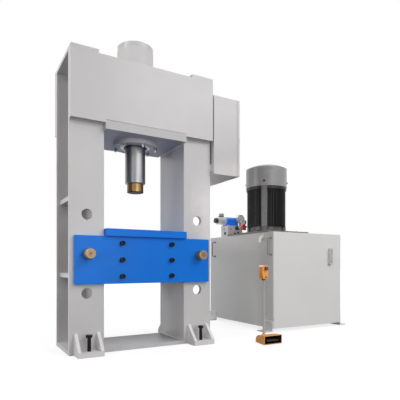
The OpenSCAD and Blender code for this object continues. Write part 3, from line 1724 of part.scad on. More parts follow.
module stop_box() {
  color(orange_paint) translate([pedal_x, post_y, 0]) difference() {
    translate([0, 0, stop_z]) intersection() {
      linear_extrude(stop_h) rounded_rect(stop_w, stop_d, stop_r);
      translate([0, stop_d, 0]) rotate([90, 0, 0]) linear_extrude(2 * stop_d) stop_outline();
    }
    rod_z(post_d + 2 * seat_gap, stop_z - cut, stop_z + post_bite);
    translate([0, -stop_d / 2, button_z]) rod_y(button_stem_d + 2 * slide_gap, -cut, button_hole_l);
  }
}

module stop_button() {
  color(red_plastic) translate([pedal_x, stop_front, button_z]) {
    rod_y(button_stem_d, -button_stem_l - fuse, button_stem_in);
    translate([0, -button_stem_l, 0]) rotate([90, 0, 0]) rotate_extrude() {
      square([button_d / 2, button_t / 2]);
      square([button_d / 2 - button_t / 2, button_t]);
      intersection() {
        translate([button_d / 2 - button_t / 2, button_t / 2]) circle(button_t / 2);
        square([button_d, button_t]);
      }
    }
  }
}

base_plate();
column_plates();
column_webs();
column_ribs();
column_caps();
crown_front_plate();
crown_rear_plate();
crown_bed();
crown_lid();
press_feet();
levelling_bolts();
cylinder_barrel();
cylinder_cap();
cylinder_gland();
rod_wiper();
flange_bolts();
ram_rod();
ram_piston();
piston_seals();
ram_nose();
table_front_plate();
table_rear_plate();
table_webs();
table_top();
table_bolts();
left_pin();
right_pin();
cabinet_shell();
cabinet_door();
door_lock();
mounting_plate();
control_gear();
cable_glands();
tank_shell();
tank_cover();
tank_feet();
tank_handles();
level_gauge();
elbow_port();
motor_housing();
fan_cowl();
motor_fan();
motor_shaft();
bell_housing();
shaft_coupling();
pump_body();
pump_shaft();
manifold();
valve_body();
solenoids();
valve_spool();
relief_valve();
handwheel();
gauge_case();
gauge_needle();
pedal_housing();
treadle();
station_post();
stop_box();
stop_button();
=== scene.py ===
"""Looks of the hydraulic press: its camera, studio, finishes and the small pieces on its solids."""
import math

import bmesh
import bpy
from mathutils import Matrix, Vector


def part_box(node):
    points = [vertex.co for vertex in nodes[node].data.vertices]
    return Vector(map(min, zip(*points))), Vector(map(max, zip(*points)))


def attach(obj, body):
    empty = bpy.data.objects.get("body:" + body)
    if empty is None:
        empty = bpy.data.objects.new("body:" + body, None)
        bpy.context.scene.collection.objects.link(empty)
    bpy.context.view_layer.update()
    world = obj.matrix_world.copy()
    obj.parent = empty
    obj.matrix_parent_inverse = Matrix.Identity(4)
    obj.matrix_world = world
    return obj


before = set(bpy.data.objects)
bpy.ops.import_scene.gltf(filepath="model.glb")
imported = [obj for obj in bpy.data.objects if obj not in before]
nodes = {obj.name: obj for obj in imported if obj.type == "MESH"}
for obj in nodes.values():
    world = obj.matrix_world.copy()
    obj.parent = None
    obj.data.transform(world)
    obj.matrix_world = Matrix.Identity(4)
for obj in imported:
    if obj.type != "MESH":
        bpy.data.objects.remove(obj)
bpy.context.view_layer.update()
# Farther than any coordinate of the part
FAR = 10.0
X, Y, Z = Vector((1, 0, 0)), Vector((0, 1, 0)), Vector((0, 0, 1))

# Camera
CAMERA_PLACE = (-1.126, -2.914, 0.585)
CAMERA_TURN = math.radians(-30.08)
CAMERA_LENS = 37.0
CAMERA_SENSOR = 36.0
CAMERA_SHIFT_Y = 0.163


def make_camera():
    data = bpy.data.cameras.new("camera")
    data.lens = CAMERA_LENS
    data.sensor_width = CAMERA_SENSOR
    data.shift_y = CAMERA_SHIFT_Y
    camera = bpy.data.objects.new("camera", data)
    camera.location = CAMERA_PLACE
    camera.rotation_euler = (math.pi / 2, 0, CAMERA_TURN)
    bpy.context.scene.collection.objects.link(camera)
    bpy.context.scene.camera = camera


def linear(rgb):
    """A colour written as 0 to 255 in sRGB, as the linear colour that shaders take."""
    def channel(value):
        share = value / 255
        return share / 12.92 if share <= 0.04045 else ((share + 0.055) / 1.055) ** 2.4
    return (*[channel(value) for value in rgb], 1.0)


def shade(rgb, factor):
    return tuple(min(255, value * factor) for value in rgb)


class Graph:
    """Short calls for the nodes of a material or of the world."""

    def __init__(self, tree):
        self.tree = tree

    def add(self, kind, inputs=None, **settings):
        node = self.tree.nodes.new("ShaderNode" + kind)
        for name, value in settings.items():
            setattr(node, name, value)
        for key, value in (inputs or {}).items():
            self.feed(node.inputs[key], value)
        return node

    def feed(self, socket, value):
        if isinstance(value, bpy.types.NodeSocket):
            self.tree.links.new(value, socket)
        else:
            socket.default_value = value

    def math(self, operation, first, second=0.0):
        return self.add("Math", {0: first, 1: second}, operation=operation).outputs[0]

    def mix(self, share, first, second):
        """Colours mixed by a share: sockets 6 and 7 are the node's two colours."""
        return self.add("Mix", {0: share, 6: first, 7: second}, data_type="RGBA").outputs[2]

    def mix_value(self, share, first, second):
        """Numbers mixed by a share: sockets 2 and 3 are the node's two numbers."""
        return self.add("Mix", {0: share, 2: first, 3: second}, data_type="FLOAT").outputs[0]

    def spread(self, value, low, high, start=0.3, end=0.7):
        """A value mapped from start..end to low..high. Most of a noise lies in the default range."""
        inputs = {"Value": value, "From Min": start, "From Max": end, "To Min": low, "To Max": high}
        return self.add("MapRange", inputs).outputs["Result"]

    def seen(self):
        """1 for rays from the camera, a gloss or glass, and 0 for the light that falls on the object."""
        path = self.add("LightPath").outputs
        shown = self.math("MAXIMUM", path["Is Camera Ray"], path["Is Glossy Ray"])
        return self.math("MAXIMUM", shown, path["Is Transmission Ray"])


class Look(Graph):
    """A Principled material whose nodes read the piece's own coordinates, in metres."""

    def __init__(self, name, constants=None):
        self.material = bpy.data.materials.new(name)
        self.material.use_nodes = True
        super().__init__(self.material.node_tree)
        self.shader = self.tree.nodes["Principled BSDF"]
        self.own = self.add("TexCoord").outputs["Object"]
        for key, value in (constants or {}).items():
            self.feed(self.shader.inputs[key], value)

    def set(self, key, value):
        self.feed(self.shader.inputs[key], value)

    def axis(self, index):
        return self.add("SeparateXYZ", {0: self.own}).outputs[index]

    def inside(self, index, low, high):
        """1 where a coordinate lies between two values, and 0 elsewhere."""
        value = self.axis(index)
        above = self.math("GREATER_THAN", value, low)
        return self.math("MULTIPLY", above, self.math("LESS_THAN", value, high))

    def noise(self, scale, detail=3.0, stretch=(1, 1, 1)):
        """A noise pattern, in waves per metre, drawn out along the axes with a small stretch."""
        place = self.add("Mapping", {"Vector": self.own, "Scale": stretch}).outputs[0]
        return self.add("TexNoise", {"Vector": place, "Scale": scale, "Detail": detail}).outputs["Fac"]

    def rings(self, scale, direction, centre=(0, 0, 0)):
        """Turning marks round an axis through a point."""
        place = self.add("VectorMath", {0: self.own, 1: centre}, operation="SUBTRACT").outputs[0]
        inputs = {"Vector": place, "Scale": scale, "Distortion": 0.4, "Detail": 2.0}
        settings = {"wave_type": "RINGS", "rings_direction": direction}
        return self.add("TexWave", inputs, **settings).outputs["Fac"]

    def cloudy(self, rgb, dark, light, scale, detail=3.0):
        """A colour that drifts between a darker and a lighter shade."""
        share = self.spread(self.noise(scale, detail), 0.0, 1.0)
        return self.mix(share, linear(shade(rgb, dark)), linear(shade(rgb, light)))

    def rubbed(self, body, edge, share, rgb, factor):
        """A body colour whose edges are rubbed to a lighter shade."""
        return self.mix(self.math("MULTIPLY", edge, share), body, linear(shade(rgb, factor)))

    def edge(self, radius):
        """The normal of softly rounded edges, and a share that is 1 on the edges."""
        bevel = self.add("Bevel", {"Radius": radius}, samples=4)
        normal = bevel.outputs["Normal"]
        plain = self.add("NewGeometry").outputs["Normal"]
        dot = self.add("VectorMath", {0: normal, 1: plain}, operation="DOT_PRODUCT").outputs["Value"]
        return normal, self.spread(dot, 1.0, 0.0, 0.80, 0.995)

    def bump(self, height, distance, normal):
        inputs = {"Height": height, "Distance": distance, "Strength": 1.0, "Normal": normal}
        self.set("Normal", self.add("Bump", inputs).outputs["Normal"])


# Colours as the photograph shows them, in sRGB
GREY = (198, 196, 196)
TANK_GREY = (222, 221, 220)
# The frame's grey painted paler on the cylinder barrel, as painted light
BARREL_LIT_GREY = (206, 204, 204)
# The base's top between the webs, lit at the front and painted as shade at the rear
BASE_LIT = (184, 183, 185)
BASE_SHADED = (112, 111, 113)
# The frame's grey painted lighter as painted light, on the feet and on the base's top in the channels
FRAME_LIT_GREY = (222, 220, 220)
BLUE = (12, 119, 226)
VALVE_BLUE = (20, 122, 242)
ORANGE = (238, 156, 56)
RED = (238, 80, 92)
BUTTON_RED = (116, 14, 16)
BLACK = (30, 30, 31)
ENAMEL_BLACK = (16, 16, 17)
# The motor's smooth pads, painted paler as a painted sheen
PAD_SHEEN_GREY = (116, 116, 117)
SHIELD_GREY = (86, 86, 88)
COVER_GREY = (104, 103, 102)
COWL_GREY = (146, 145, 145)
HANDLE_GREY = (138, 136, 132)
POST_GREY = (168, 166, 166)
LEVEL_GREY = (200, 199, 197)
CHROME = (152, 151, 153)
STEEL = (160, 160, 162)
ZINC = (190, 192, 196)
BRASS = (190, 146, 78)
BRONZE = (156, 124, 84)
# The ram nose's bottom face, as painted shade
NOSE_SHADE_BROWN = (62, 42, 30)
PIN_TAN = (144, 112, 84)
PIN_RIM = (140, 131, 112)
RUBBER = (34, 34, 34)
TRIM_BLACK = (30, 30, 30)
IVORY = (222, 220, 212)
OXIDE = (38, 38, 40)
MILLED = (204, 203, 203)
COIL_GREY = (226, 227, 230)
NUT_BLACK = (40, 40, 41)
PLUG_GREY = (168, 168, 168)
RELIEF_GREY = (52, 51, 50)
GAUGE_GREY = (184, 185, 188)
GEAR_GREY = (186, 188, 190)
GEAR_BLACK = (46, 48, 52)
SCREW_BLACK = (62, 62, 64)
SCREW_ZINC = (176, 176, 178)
DIAL_WHITE = (244, 244, 241)
DIAL_INK = (24, 24, 26)
LENS_CLEAR = (250, 252, 252)
TUBE_CLEAR = (236, 240, 238)
OIL = (206, 198, 178)

# Radii of softened edges, and heights and pitches of surface grain, in metres and waves per metre
PAINT_EDGE = 0.0025
CAST_EDGE = 0.002
TURNED_EDGE = 0.0015
FINE_EDGE = 0.0012
PEEL_DEPTH = 0.00004
PEEL_SCALE = 330.0
SMEAR_SCALE = 14.0
CAST_DEPTH = 0.00004
CAST_SCALE = 160.0
RING_DEPTH = 0.00003
NOSE_RINGS = 420.0
PIN_RINGS = 300.0
SKIN_DEPTH = 0.00003
SKIN_SCALE = 700.0
GLOSS_SCALE = 90.0
SET_DEPTH = 0.00002
SET_SCALE = 500.0
SMEAR_DEPTH = 0.00001

# Places on the solids where one finish ends and the next begins, in metres.
# The pin's face is given as shares of its radius, and the pedal's taper as a slope.
FACE_SKIN = 0.0004
# How far in from the base's front and rear edges its painted shade starts and ends
BASE_SHADE_INSET = 0.05
MOTOR_FOOT = 0.0618
PAD_HALF = 0.0284
# Height of the ram nose's bottom band that is painted as shade
NOSE_SHADED_FACE = 0.004
PIN_FACE = (0.66, 0.74)
PEDAL_TAPER = 0.211
PEDAL_SKIN = 0.0036
PEDAL_FLOOR = 0.0055
PEDAL_LEVEL = 0.040
PEDAL_BACK = 0.026
PEDAL_ROOF = 0.002
PLUG_SEAT = 0.014
PLUG_HEIGHT = 0.023
NUT_LENGTH = 0.030
RELIEF_BLACK = 0.056
GAUGE_STEM = 0.029
GEAR_HEAD = 0.047


def painted(name, rgb, rough=(0.30, 0.40), peel=PEEL_DEPTH, mottle=0.03, gloss=0.5):
    """Sprayed paint: faint cloudiness, a fine orange peel, and edges where the coat thins and shines."""
    look = Look(name, {"Coat Weight": 0.3 * gloss, "Coat Roughness": 0.18, "Specular IOR Level": gloss})
    normal, edge = look.edge(PAINT_EDGE)
    body = look.cloudy(rgb, 1 - mottle, 1 + mottle / 2, 2.2, 2.0)
    wear = look.spread(look.noise(9.0, 4.0), 0.15, 0.6)
    look.set("Base Color", look.rubbed(body, edge, wear, rgb, 1.14))
    look.set("Roughness", look.spread(look.noise(SMEAR_SCALE, 4.0), *rough))
    look.bump(look.noise(PEEL_SCALE, 2.0), peel, normal)
    return look.material


def base_finish():
    """The frame's paint, with painted shade on the top between the webs that darkens towards the rear,
    and faint blotches of it; the top in the channels is painted a lighter grey as painted light.
    """
    look = Look("base_paint", {"Specular IOR Level": 0.3})
    normal, edge = look.edge(PAINT_EDGE)
    low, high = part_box("base_plate")
    webs_low, webs_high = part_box("column_webs")
    between = look.inside(0, webs_low.x, webs_high.x)
    top = look.inside(2, high.z - FACE_SKIN, FAR)
    # Painted shade: the top between the webs darkens from the front towards the rear, with faint darker
    # blotches
    back = look.spread(look.axis(1), 0.0, 1.0, low.y + BASE_SHADE_INSET, high.y - BASE_SHADE_INSET)
    painted_shade = look.mix(back, linear(BASE_LIT), linear(BASE_SHADED))
    painted_shade = look.mix(look.spread(look.noise(7.0, 4.0), 0.12, 0.0), painted_shade, linear(BASE_SHADED))
    colour = look.mix(top, linear(GREY), look.mix(between, linear(FRAME_LIT_GREY), painted_shade))
    look.set("Base Color", look.rubbed(colour, edge, 0.3, GREY, 1.1))
    look.set("Roughness", look.spread(look.noise(SMEAR_SCALE, 4.0), 0.38, 0.52))
    look.bump(look.noise(PEEL_SCALE, 2.0), PEEL_DEPTH, normal)
    return look.material


def motor_finish():
    """Enamel over a finned casting: black fins, smooth pads on the diagonals painted paler as a painted
    sheen, and a grey foot.
    """
    cowl_low, cowl_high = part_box("fan_cowl")
    middle, radius = (cowl_low + cowl_high) / 2, (cowl_high.x - cowl_low.x) / 2
    look = Look("motor_enamel", {"Coat Weight": 0.1, "Coat Roughness": 0.2, "Specular IOR Level": 0.3})
    normal, edge = look.edge(CAST_EDGE)
    across, ahead = (look.math("SUBTRACT", look.axis(index), middle[index]) for index in (0, 1))
    falling = look.math("ABSOLUTE", look.math("ADD", across, ahead))
    rising = look.math("ABSOLUTE", look.math("SUBTRACT", across, ahead))
    squares = (look.math("POWER", value, 2.0) for value in (across, ahead))
    reach = look.math("SQRT", look.math("ADD", *squares))
    pads = look.math("LESS_THAN", look.math("MINIMUM", falling, rising), PAD_HALF * math.sqrt(2))
    pads = look.math("MULTIPLY", pads, look.math("LESS_THAN", reach, radius))
    foot = look.inside(2, -FAR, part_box("motor_housing")[0].z + MOTOR_FOOT)
    body = look.cloudy(ENAMEL_BLACK, 0.9, 1.12, 5.0)
    body = look.rubbed(body, edge, 0.35, ENAMEL_BLACK, 2.2)
    # Painted sheen: the pads take a paler grey than the enamel
    body = look.mix(pads, body, linear(PAD_SHEEN_GREY))
    look.set("Base Color", look.mix(foot, body, linear(SHIELD_GREY)))
    rough = look.mix_value(look.math("MAXIMUM", pads, foot), 0.42, 0.28)
    look.set("Roughness", look.math("MULTIPLY", rough, look.spread(look.noise(40.0, 4.0), 0.9, 1.15)))
    look.bump(look.noise(CAST_SCALE, 4.0), CAST_DEPTH, normal)
    return look.material


def machined(name, rgb, rough, stretch=(1, 1, 1), grain=0.00002, scale=220.0):
    """Bare metal with a fine grain, drawn out along the cut where a stretch is given."""
    look = Look(name, {"Metallic": 1.0})
    normal, edge = look.edge(FINE_EDGE)
    lines = look.noise(scale, 3.0, stretch)
    body = look.cloudy(rgb, 0.90, 1.0, 6.0, 4.0)
    look.set("Base Color", look.rubbed(body, edge, 0.5, rgb, 1.2))
    look.set("Roughness", look.spread(lines, *rough))
    look.bump(lines, grain, normal)
    return look.material


def nose_finish():
    """Bronze off a lathe: rings round the ram's axis, oil held in them, and the bottom face painted dark
    brown and rough as painted shade.
    """
    look = Look("turned_bronze", {"Metallic": 1.0})
    normal, edge = look.edge(TURNED_EDGE)
    rings = look.rings(NOSE_RINGS, "Z")
    stain = look.math("MULTIPLY", look.spread(look.noise(18.0, 4.0), 0.0, 1.0), rings)
    body = look.mix(stain, linear(shade(BRONZE, 0.82)), linear(BRONZE))
    body = look.rubbed(body, edge, 0.4, BRONZE, 1.2)
    # Painted shade: the bottom face is painted dark brown
    painted_shade = look.inside(2, -FAR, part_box("ram_nose")[0].z + NOSE_SHADED_FACE)
    look.set("Base Color", look.mix(painted_shade, body, linear(NOSE_SHADE_BROWN)))
    look.set("Roughness", look.mix_value(painted_shade, look.spread(rings, 0.16, 0.28, 0.0, 1.0), 0.6))
    look.bump(rings, RING_DEPTH, normal)
    return look.material


def pin_finish(name):
    """A turned pin: a tan end face inside a bare chamfer and side."""
    low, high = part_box(name)
    middle, radius = (low + high) / 2, (high.x - low.x) / 2
    look = Look(name + "_steel", {"Metallic": 0.8})
    normal, edge = look.edge(TURNED_EDGE)
    rings = look.rings(PIN_RINGS, "Y", middle)
    offset = look.add("VectorMath", {0: look.own, 1: middle}, operation="SUBTRACT").outputs[0]
    flat = look.add("VectorMath", {0: offset, 1: (1, 0, 1)}, operation="MULTIPLY").outputs[0]
    reach = look.add("VectorMath", {0: flat}, operation="LENGTH").outputs["Value"]
    face = look.cloudy(PIN_TAN, 0.86, 1.0, 40.0, 4.0)
    rim = look.spread(reach, 0.0, 1.0, *(share * radius for share in PIN_FACE))
    colour = look.mix(rim, face, linear(PIN_RIM))
    look.set("Base Color", look.rubbed(colour, edge, 0.4, PIN_RIM, 1.2))
    look.set("Roughness", look.spread(rings, 0.34, 0.52, 0.0, 1.0))
    look.bump(rings, RING_DEPTH, normal)
    return look.material


def pedal_finish():
    """Orange outside, and the inside painted black as painted shade: the inner walls lie within the
    pedal's tapering plan.
    """
    low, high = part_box("pedal_housing")
    middle = (low + high) / 2
    look = Look("pedal_shell", {"Coat Weight": 0.05, "Coat Roughness": 0.25, "Specular IOR Level": 0.25})
    normal, edge = look.edge(FINE_EDGE)
    across = look.math("ABSOLUTE", look.math("SUBTRACT", look.axis(0), middle.x))
    slant = look.math("MULTIPLY", look.math("SUBTRACT", look.axis(1), low.y), PEDAL_TAPER)
    within = look.math("LESS_THAN", look.math("ADD", across, slant), (high.x - low.x) / 2 - PEDAL_SKIN)
    share = look.spread(look.axis(1), 0.0, 1.0, low.y + PEDAL_LEVEL, high.y - PEDAL_ROOF)
    fall = look.math("SQRT", look.math("SUBTRACT", 1.0, look.math("POWER", share, 2.0)))
    roof = look.math("ADD", look.math("MULTIPLY", fall, high.z - PEDAL_BACK), PEDAL_BACK - PEDAL_ROOF)
    below = look.math("LESS_THAN", look.axis(2), roof)
    level = look.math("MULTIPLY", below, look.math("GREATER_THAN", look.axis(2), PEDAL_FLOOR))
    deep = look.inside(1, low.y + FACE_SKIN, high.y - PEDAL_SKIN)
    inside = look.math("MULTIPLY", within, look.math("MULTIPLY", level, deep))
    body = look.cloudy(ORANGE, 0.94, 1.03, 30.0)
    body = look.rubbed(body, edge, 0.4, ORANGE, 1.15)
    # Painted shade: the inner walls take a black colour
    look.set("Base Color", look.mix(inside, body, linear(RUBBER)))
    look.set("Roughness", look.spread(look.noise(GLOSS_SCALE), 0.28, 0.42))
    look.bump(look.noise(SKIN_SCALE, 2.0), SKIN_DEPTH, normal)
    return look.material


def moulded(name, rgb, rough=(0.34, 0.46), coat=0.1):
    """Moulded plastic or rubber: an even colour, a fine skin and softened edges."""
    look = Look(name, {"Coat Weight": coat, "Coat Roughness": 0.25})
    normal, edge = look.edge(FINE_EDGE)
    body = look.cloudy(rgb, 0.95, 1.03, 30.0)
    look.set("Base Color", look.rubbed(body, edge, 0.4, rgb, 1.15))
    look.set("Roughness", look.spread(look.noise(GLOSS_SCALE), *rough))
    look.bump(look.noise(SKIN_SCALE, 2.0), SKIN_DEPTH, normal)
    return look.material


def clear(name, rgb, alpha):
    """A thin clear window: mostly see-through, with its gloss left."""
    look = Look(name, {"Base Color": linear(rgb), "Alpha": alpha, "Coat Weight": 0.3})
    smear = look.noise(45.0, 4.0)
    look.set("Roughness", look.spread(smear, 0.04, 0.12))
    look.bump(smear, SMEAR_DEPTH, look.add("NewGeometry").outputs["Normal"])
    return look.material


def zoned(name, base, zones):
    """A set with bands of other finishes along an axis: each finish is (colour, roughness, metallic)."""
    look = Look(name)
    normal, edge = look.edge(FINE_EDGE)
    colour, rough, metal = linear(base[0]), base[1], base[2]
    for index, low, high, finish in zones:
        band = look.inside(index, low, high)
        colour = look.mix(band, colour, linear(finish[0]))
        rough = look.mix_value(band, rough, finish[1])
        metal = look.mix_value(band, metal, finish[2])
    cloud = look.spread(look.noise(25.0), 0.94, 1.04)
    tinted = look.add("VectorMath", {0: colour, "Scale": cloud}, operation="SCALE").outputs[0]
    look.set("Base Color", look.rubbed(tinted, edge, 0.25, base[0], 1.2))
    look.set("Roughness", look.math("MULTIPLY", rough, look.spread(look.noise(120.0), 0.9, 1.15)))
    look.set("Metallic", metal)
    look.bump(look.noise(SET_SCALE, 2.0), SET_DEPTH, normal)
    return look.material


def solenoid_finish():
    """Plated coils, black end nuts and plug seats, grey plugs."""
    low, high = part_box("solenoids")
    black, grey = (NUT_BLACK, 0.4, 0.0), (PLUG_GREY, 0.45, 0.0)
    plug_z = high.z - PLUG_HEIGHT
    zones = (
        (0, -FAR, low.x + NUT_LENGTH, black),
        (0, high.x - NUT_LENGTH, FAR, black),
        (2, plug_z - PLUG_SEAT, plug_z, black),
        (2, plug_z, FAR, grey),
    )
    return zoned("solenoid_set", (COIL_GREY, 0.36, 0.3), zones)


def relief_finish():
    """A black hexagon and cap with a plated sleeve and spindle."""
    plated_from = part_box("manifold")[0].y - RELIEF_BLACK
    return zoned("relief_set", (RELIEF_GREY, 0.38, 0.6), ((1, -FAR, plated_from, (ZINC, 0.34, 0.7)),))


def gauge_finish():
    """A bright case on a brass stem."""
    stem_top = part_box("manifold")[1].z + GAUGE_STEM
    return zoned("gauge_set", (GAUGE_GREY, 0.26, 0.6), ((2, -FAR, stem_top, (BRASS, 0.3, 1.0)),))


def gear_finish():
    """Pale switchgear with dark heads."""
    heads_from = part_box("control_gear")[0].x + GEAR_HEAD
    return zoned("switchgear", (GEAR_GREY, 0.5, 0.0), ((0, heads_from, FAR, (GEAR_BLACK, 0.45, 0.0)),))


def dress_solids():
    """A finish on every solid."""
    dull = {"rough": (0.44, 0.54), "gloss": 0.15}
    grey = painted("grey_paint", GREY, gloss=0.4)
    tank_grey = painted("tank_paint", TANK_GREY, rough=(0.34, 0.40), peel=0.000015, mottle=0.014)
    blue = painted("blue_paint", BLUE, rough=(0.30, 0.38), mottle=0.04, gloss=0.12)
    cover = painted("cover_paint", COVER_GREY, rough=(0.38, 0.5))
    handle = painted("handle_paint", HANDLE_GREY)
    oxide = machined("black_oxide", OXIDE, (0.30, 0.50), grain=0.00003)
    chrome = machined("chromed_rod", CHROME, (0.30, 0.35), (0.05, 0.05, 1.0), 0.000003, 500.0)
    steel = machined("plain_steel", STEEL, (0.25, 0.42))
    zinc = machined("zinc_plate", ZINC, (0.22, 0.36))
    rubber = moulded("rubber", RUBBER, rough=(0.55, 0.7), coat=0.0)
    ivory = moulded("ivory_plastic", IVORY)
    black = moulded("black_plastic", BLACK)
    knob = {"rough": (0.25, 0.36), "coat": 0.3}
    finishes = (
        (grey, "column_plates", "column_webs", "column_ribs", "column_caps", "crown_front_plate",
         "crown_rear_plate", "crown_lid", "cylinder_cap", "cabinet_shell", "cabinet_door"),
        (base_finish(), "base_plate"),
        (painted("matt_paint", GREY, **dull), "crown_bed"),
        # The barrel takes the frame's grey painted paler, as painted light
        (painted("barrel_lit_paint", BARREL_LIT_GREY, **dull), "cylinder_barrel"),
        # The feet take the frame's grey painted lighter, as painted light
        (painted("foot_lit_paint", FRAME_LIT_GREY, **dull), "press_feet"),
        (blue, "table_front_plate", "table_rear_plate", "table_webs", "table_top"),
        (tank_grey, "tank_shell", "tank_feet"),
        (cover, "tank_cover", "bell_housing", "pump_body"),
        (handle, "tank_handles", "shaft_coupling"),
        (painted("level_frame", LEVEL_GREY, rough=(0.3, 0.4)), "level_gauge"),
        (painted("cowl_paint", COWL_GREY, rough=(0.26, 0.36), mottle=0.05), "fan_cowl"),
        (painted("valve_paint", VALVE_BLUE, rough=(0.2, 0.3)), "valve_body"),
        (painted("manifold_finish", MILLED, rough=(0.34, 0.5), gloss=0.7), "manifold"),
        (painted("post_paint", POST_GREY), "station_post"),
        (motor_finish(), "motor_housing"),
        (chrome, "ram_rod"),
        (nose_finish(), "ram_nose"),
        (steel, "cylinder_gland", "ram_piston", "motor_shaft", "pump_shaft", "valve_spool"),
        (zinc, "flange_bolts", "mounting_plate"),
        (oxide, "levelling_bolts", "table_bolts"),
        (rubber, "rod_wiper", "piston_seals", "treadle"),
        (ivory, "motor_fan", "elbow_port"),
        (black, "door_lock", "cable_glands", "gauge_needle"),
        (pedal_finish(), "pedal_housing"),
        (moulded("orange_plastic", ORANGE, rough=(0.28, 0.4)), "stop_box"),
        (moulded("red_plastic", RED, **knob), "handwheel"),
        (moulded("button_red", BUTTON_RED, **knob), "stop_button"),
        (pin_finish("left_pin"), "left_pin"),
        (pin_finish("right_pin"), "right_pin"),
        (solenoid_finish(), "solenoids"),
        (relief_finish(), "relief_valve"),
        (gauge_finish(), "gauge_case"),
        (gear_finish(), "control_gear"),
    )
    bare = set(nodes)
    for material, *names in finishes:
        for name in names:
            nodes[name].data.materials.clear()
            nodes[name].data.materials.append(material)
            bare.remove(name)
    if bare:
        raise SystemExit(f"no finish for {sorted(bare)}")


# Building of small pieces

# Proportions of fasteners
WASHER_SHARE = 0.12
WASHER_RIM = 0.3
HEAD_CHAMFER = 0.15
HEAD_FACE = 0.49
SOCKET_SHARE = 0.52
SOCKET_FLOOR = 0.45
SOCKET_RIM = 0.1
PAN_STEPS = 4
PAN_ARC = 0.4 * math.pi

# Segments of turned forms
ROUND_SIDES = 36
PAN_SIDES = 24
SMALL_SIDES = 28
COLLAR_SIDES = 40
DIAL_SIDES = 64

# Weld beads: step and ripple in metres, swell, end and bulge as shares of the leg, sharp in degrees
WELD_STEP = 0.0035
WELD_RIPPLE = 0.007
WELD_SWELL = 0.10
WELD_END = 0.45
WELD_BULGE = (1.0, 0.86, 0.80, 0.86, 1.0)
WELD_SHARP = 60


def make_piece(name, mesh_builder, material, body, sharp=35):
    """A mesh piece with smooth faces, riding on a body."""
    mesh = bpy.data.meshes.new(name)
    mesh_builder.normal_update()
    mesh_builder.to_mesh(mesh)
    mesh_builder.free()
    mesh.polygons.foreach_set("use_smooth", [True] * len(mesh.polygons))
    mesh.set_sharp_from_angle(angle=math.radians(sharp))
    mesh.materials.append(material)
    piece = bpy.data.objects.new(name, mesh)
    bpy.context.scene.collection.objects.link(piece)
    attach(piece, body)


def along(axis, place):
    """A frame whose Z runs along an axis from a place."""
    return Matrix.Translation(Vector(place)) @ Vector(axis).to_track_quat("Z", "Y").to_matrix().to_4x4()


def skin(bm, rings):
    """Faces between closed rings of points, and a face over each end."""
    count = len(rings[0])
    for low, high in zip(rings, rings[1:]):
        for step in range(count):
            after = (step + 1) % count
            bm.faces.new((low[step], low[after], high[after], high[step]))
    bm.faces.new(rings[0][::-1])
    bm.faces.new(rings[-1])


def hexagon(across):
    """Radius of a hexagon bar, by its angle."""
    def radius(angle):
        return across / 2 / math.cos((angle % (math.pi / 3)) - math.pi / 6)
    return radius


def turned(bm, place, rows, segments=ROUND_SIDES):
    """A closed form round Z: each row is a radius, or a radius by angle, and a height."""
    rings = []
    for radius, height in rows:
        ring = []
        for step in range(segments):
            angle = 2 * math.pi * step / segments
            r = radius(angle) if callable(radius) else radius
            point = Vector((r * math.cos(angle), r * math.sin(angle), height))
            ring.append(bm.verts.new(place @ point))
        rings.append(ring)
    skin(bm, rings)


def block(bm, place, low, high, edge):
    """A box with chamfered upright edges and top, in a frame of its own."""
    half = [(h - l) / 2 for l, h in zip(low, high)]
    middle = [(h + l) / 2 for l, h in zip(low, high)]
    levels = ((0, -half[2]), (0, half[2] - edge), (edge, half[2]))
    rings = []
    for inset, z in levels:
        a, b = half[0] - inset, half[1] - inset
        outline = ((a - edge, -b), (a, edge - b), (a, b - edge), (a - edge, b),
                   (edge - a, b), (-a, b - edge), (-a, edge - b), (edge - a, -b))
        rings.append([bm.verts.new(place @ Vector((x + middle[0], y + middle[1], z + middle[2])))
                      for x, y in outline])
    skin(bm, rings)


def hex_bolt(bm, place, across, height, washer):
    """A hexagon head with its chamfer, on a washer."""
    seat = WASHER_SHARE * across
    rim = WASHER_RIM * seat
    turned(bm, place, ((washer / 2, 0), (washer / 2, seat - rim), (washer / 2 - rim, seat)), SMALL_SIDES)
    flat = hexagon(across)
    shoulder = seat + height * (1 - HEAD_CHAMFER)
    turned(bm, place, ((flat, seat), (flat, shoulder), (across * HEAD_FACE, seat + height)))


def socket_screw(bm, place, head, height):
    """A cap screw's head with its hexagon socket."""
    socket = hexagon(head * SOCKET_SHARE)
    rim = SOCKET_RIM * height
    rows = ((head / 2, 0), (head / 2, height - rim), (head / 2 - rim, height), (socket, height),
            (socket, height * SOCKET_FLOOR))
    turned(bm, place, rows)


def pan_screw(bm, place, head, height):
    """A round screw head."""
    rows = []
    for step in range(PAN_STEPS + 1):
        angle = PAN_ARC * step / PAN_STEPS
        rows.append((head / 2 * math.cos(angle), height * math.sin(angle) / math.sin(PAN_ARC)))
    turned(bm, place, rows, PAN_SIDES)


def weld(bm, start, end, first, second, leg):
    """A rippled fillet bead in the corner between two faces, which run off along two directions."""
    start, end, first, second = Vector(start), Vector(end), Vector(first), Vector(second)
    count = max(4, round((end - start).length / WELD_STEP))
    rows = []
    for step in range(count + 1):
        at = start.lerp(end, step / count)
        travel = (end - start).length * step / count
        swell = 1 + WELD_SWELL * math.cos(2 * math.pi * travel / WELD_RIPPLE)
        taper = min(1.0, WELD_END + (1 - WELD_END) * min(step, count - step) / 2)
        row = [bm.verts.new(at)]
        for part, bulge in enumerate(WELD_BULGE):
            angle = math.pi / 2 * part / (len(WELD_BULGE) - 1)
            out = first * math.cos(angle) + second * math.sin(angle)
            row.append(bm.verts.new(at + out * leg * swell * taper * bulge))
        rows.append(row)
    skin(bm, rows)


# Sizes and places of the small pieces, in metres, beside what the frame's boxes give

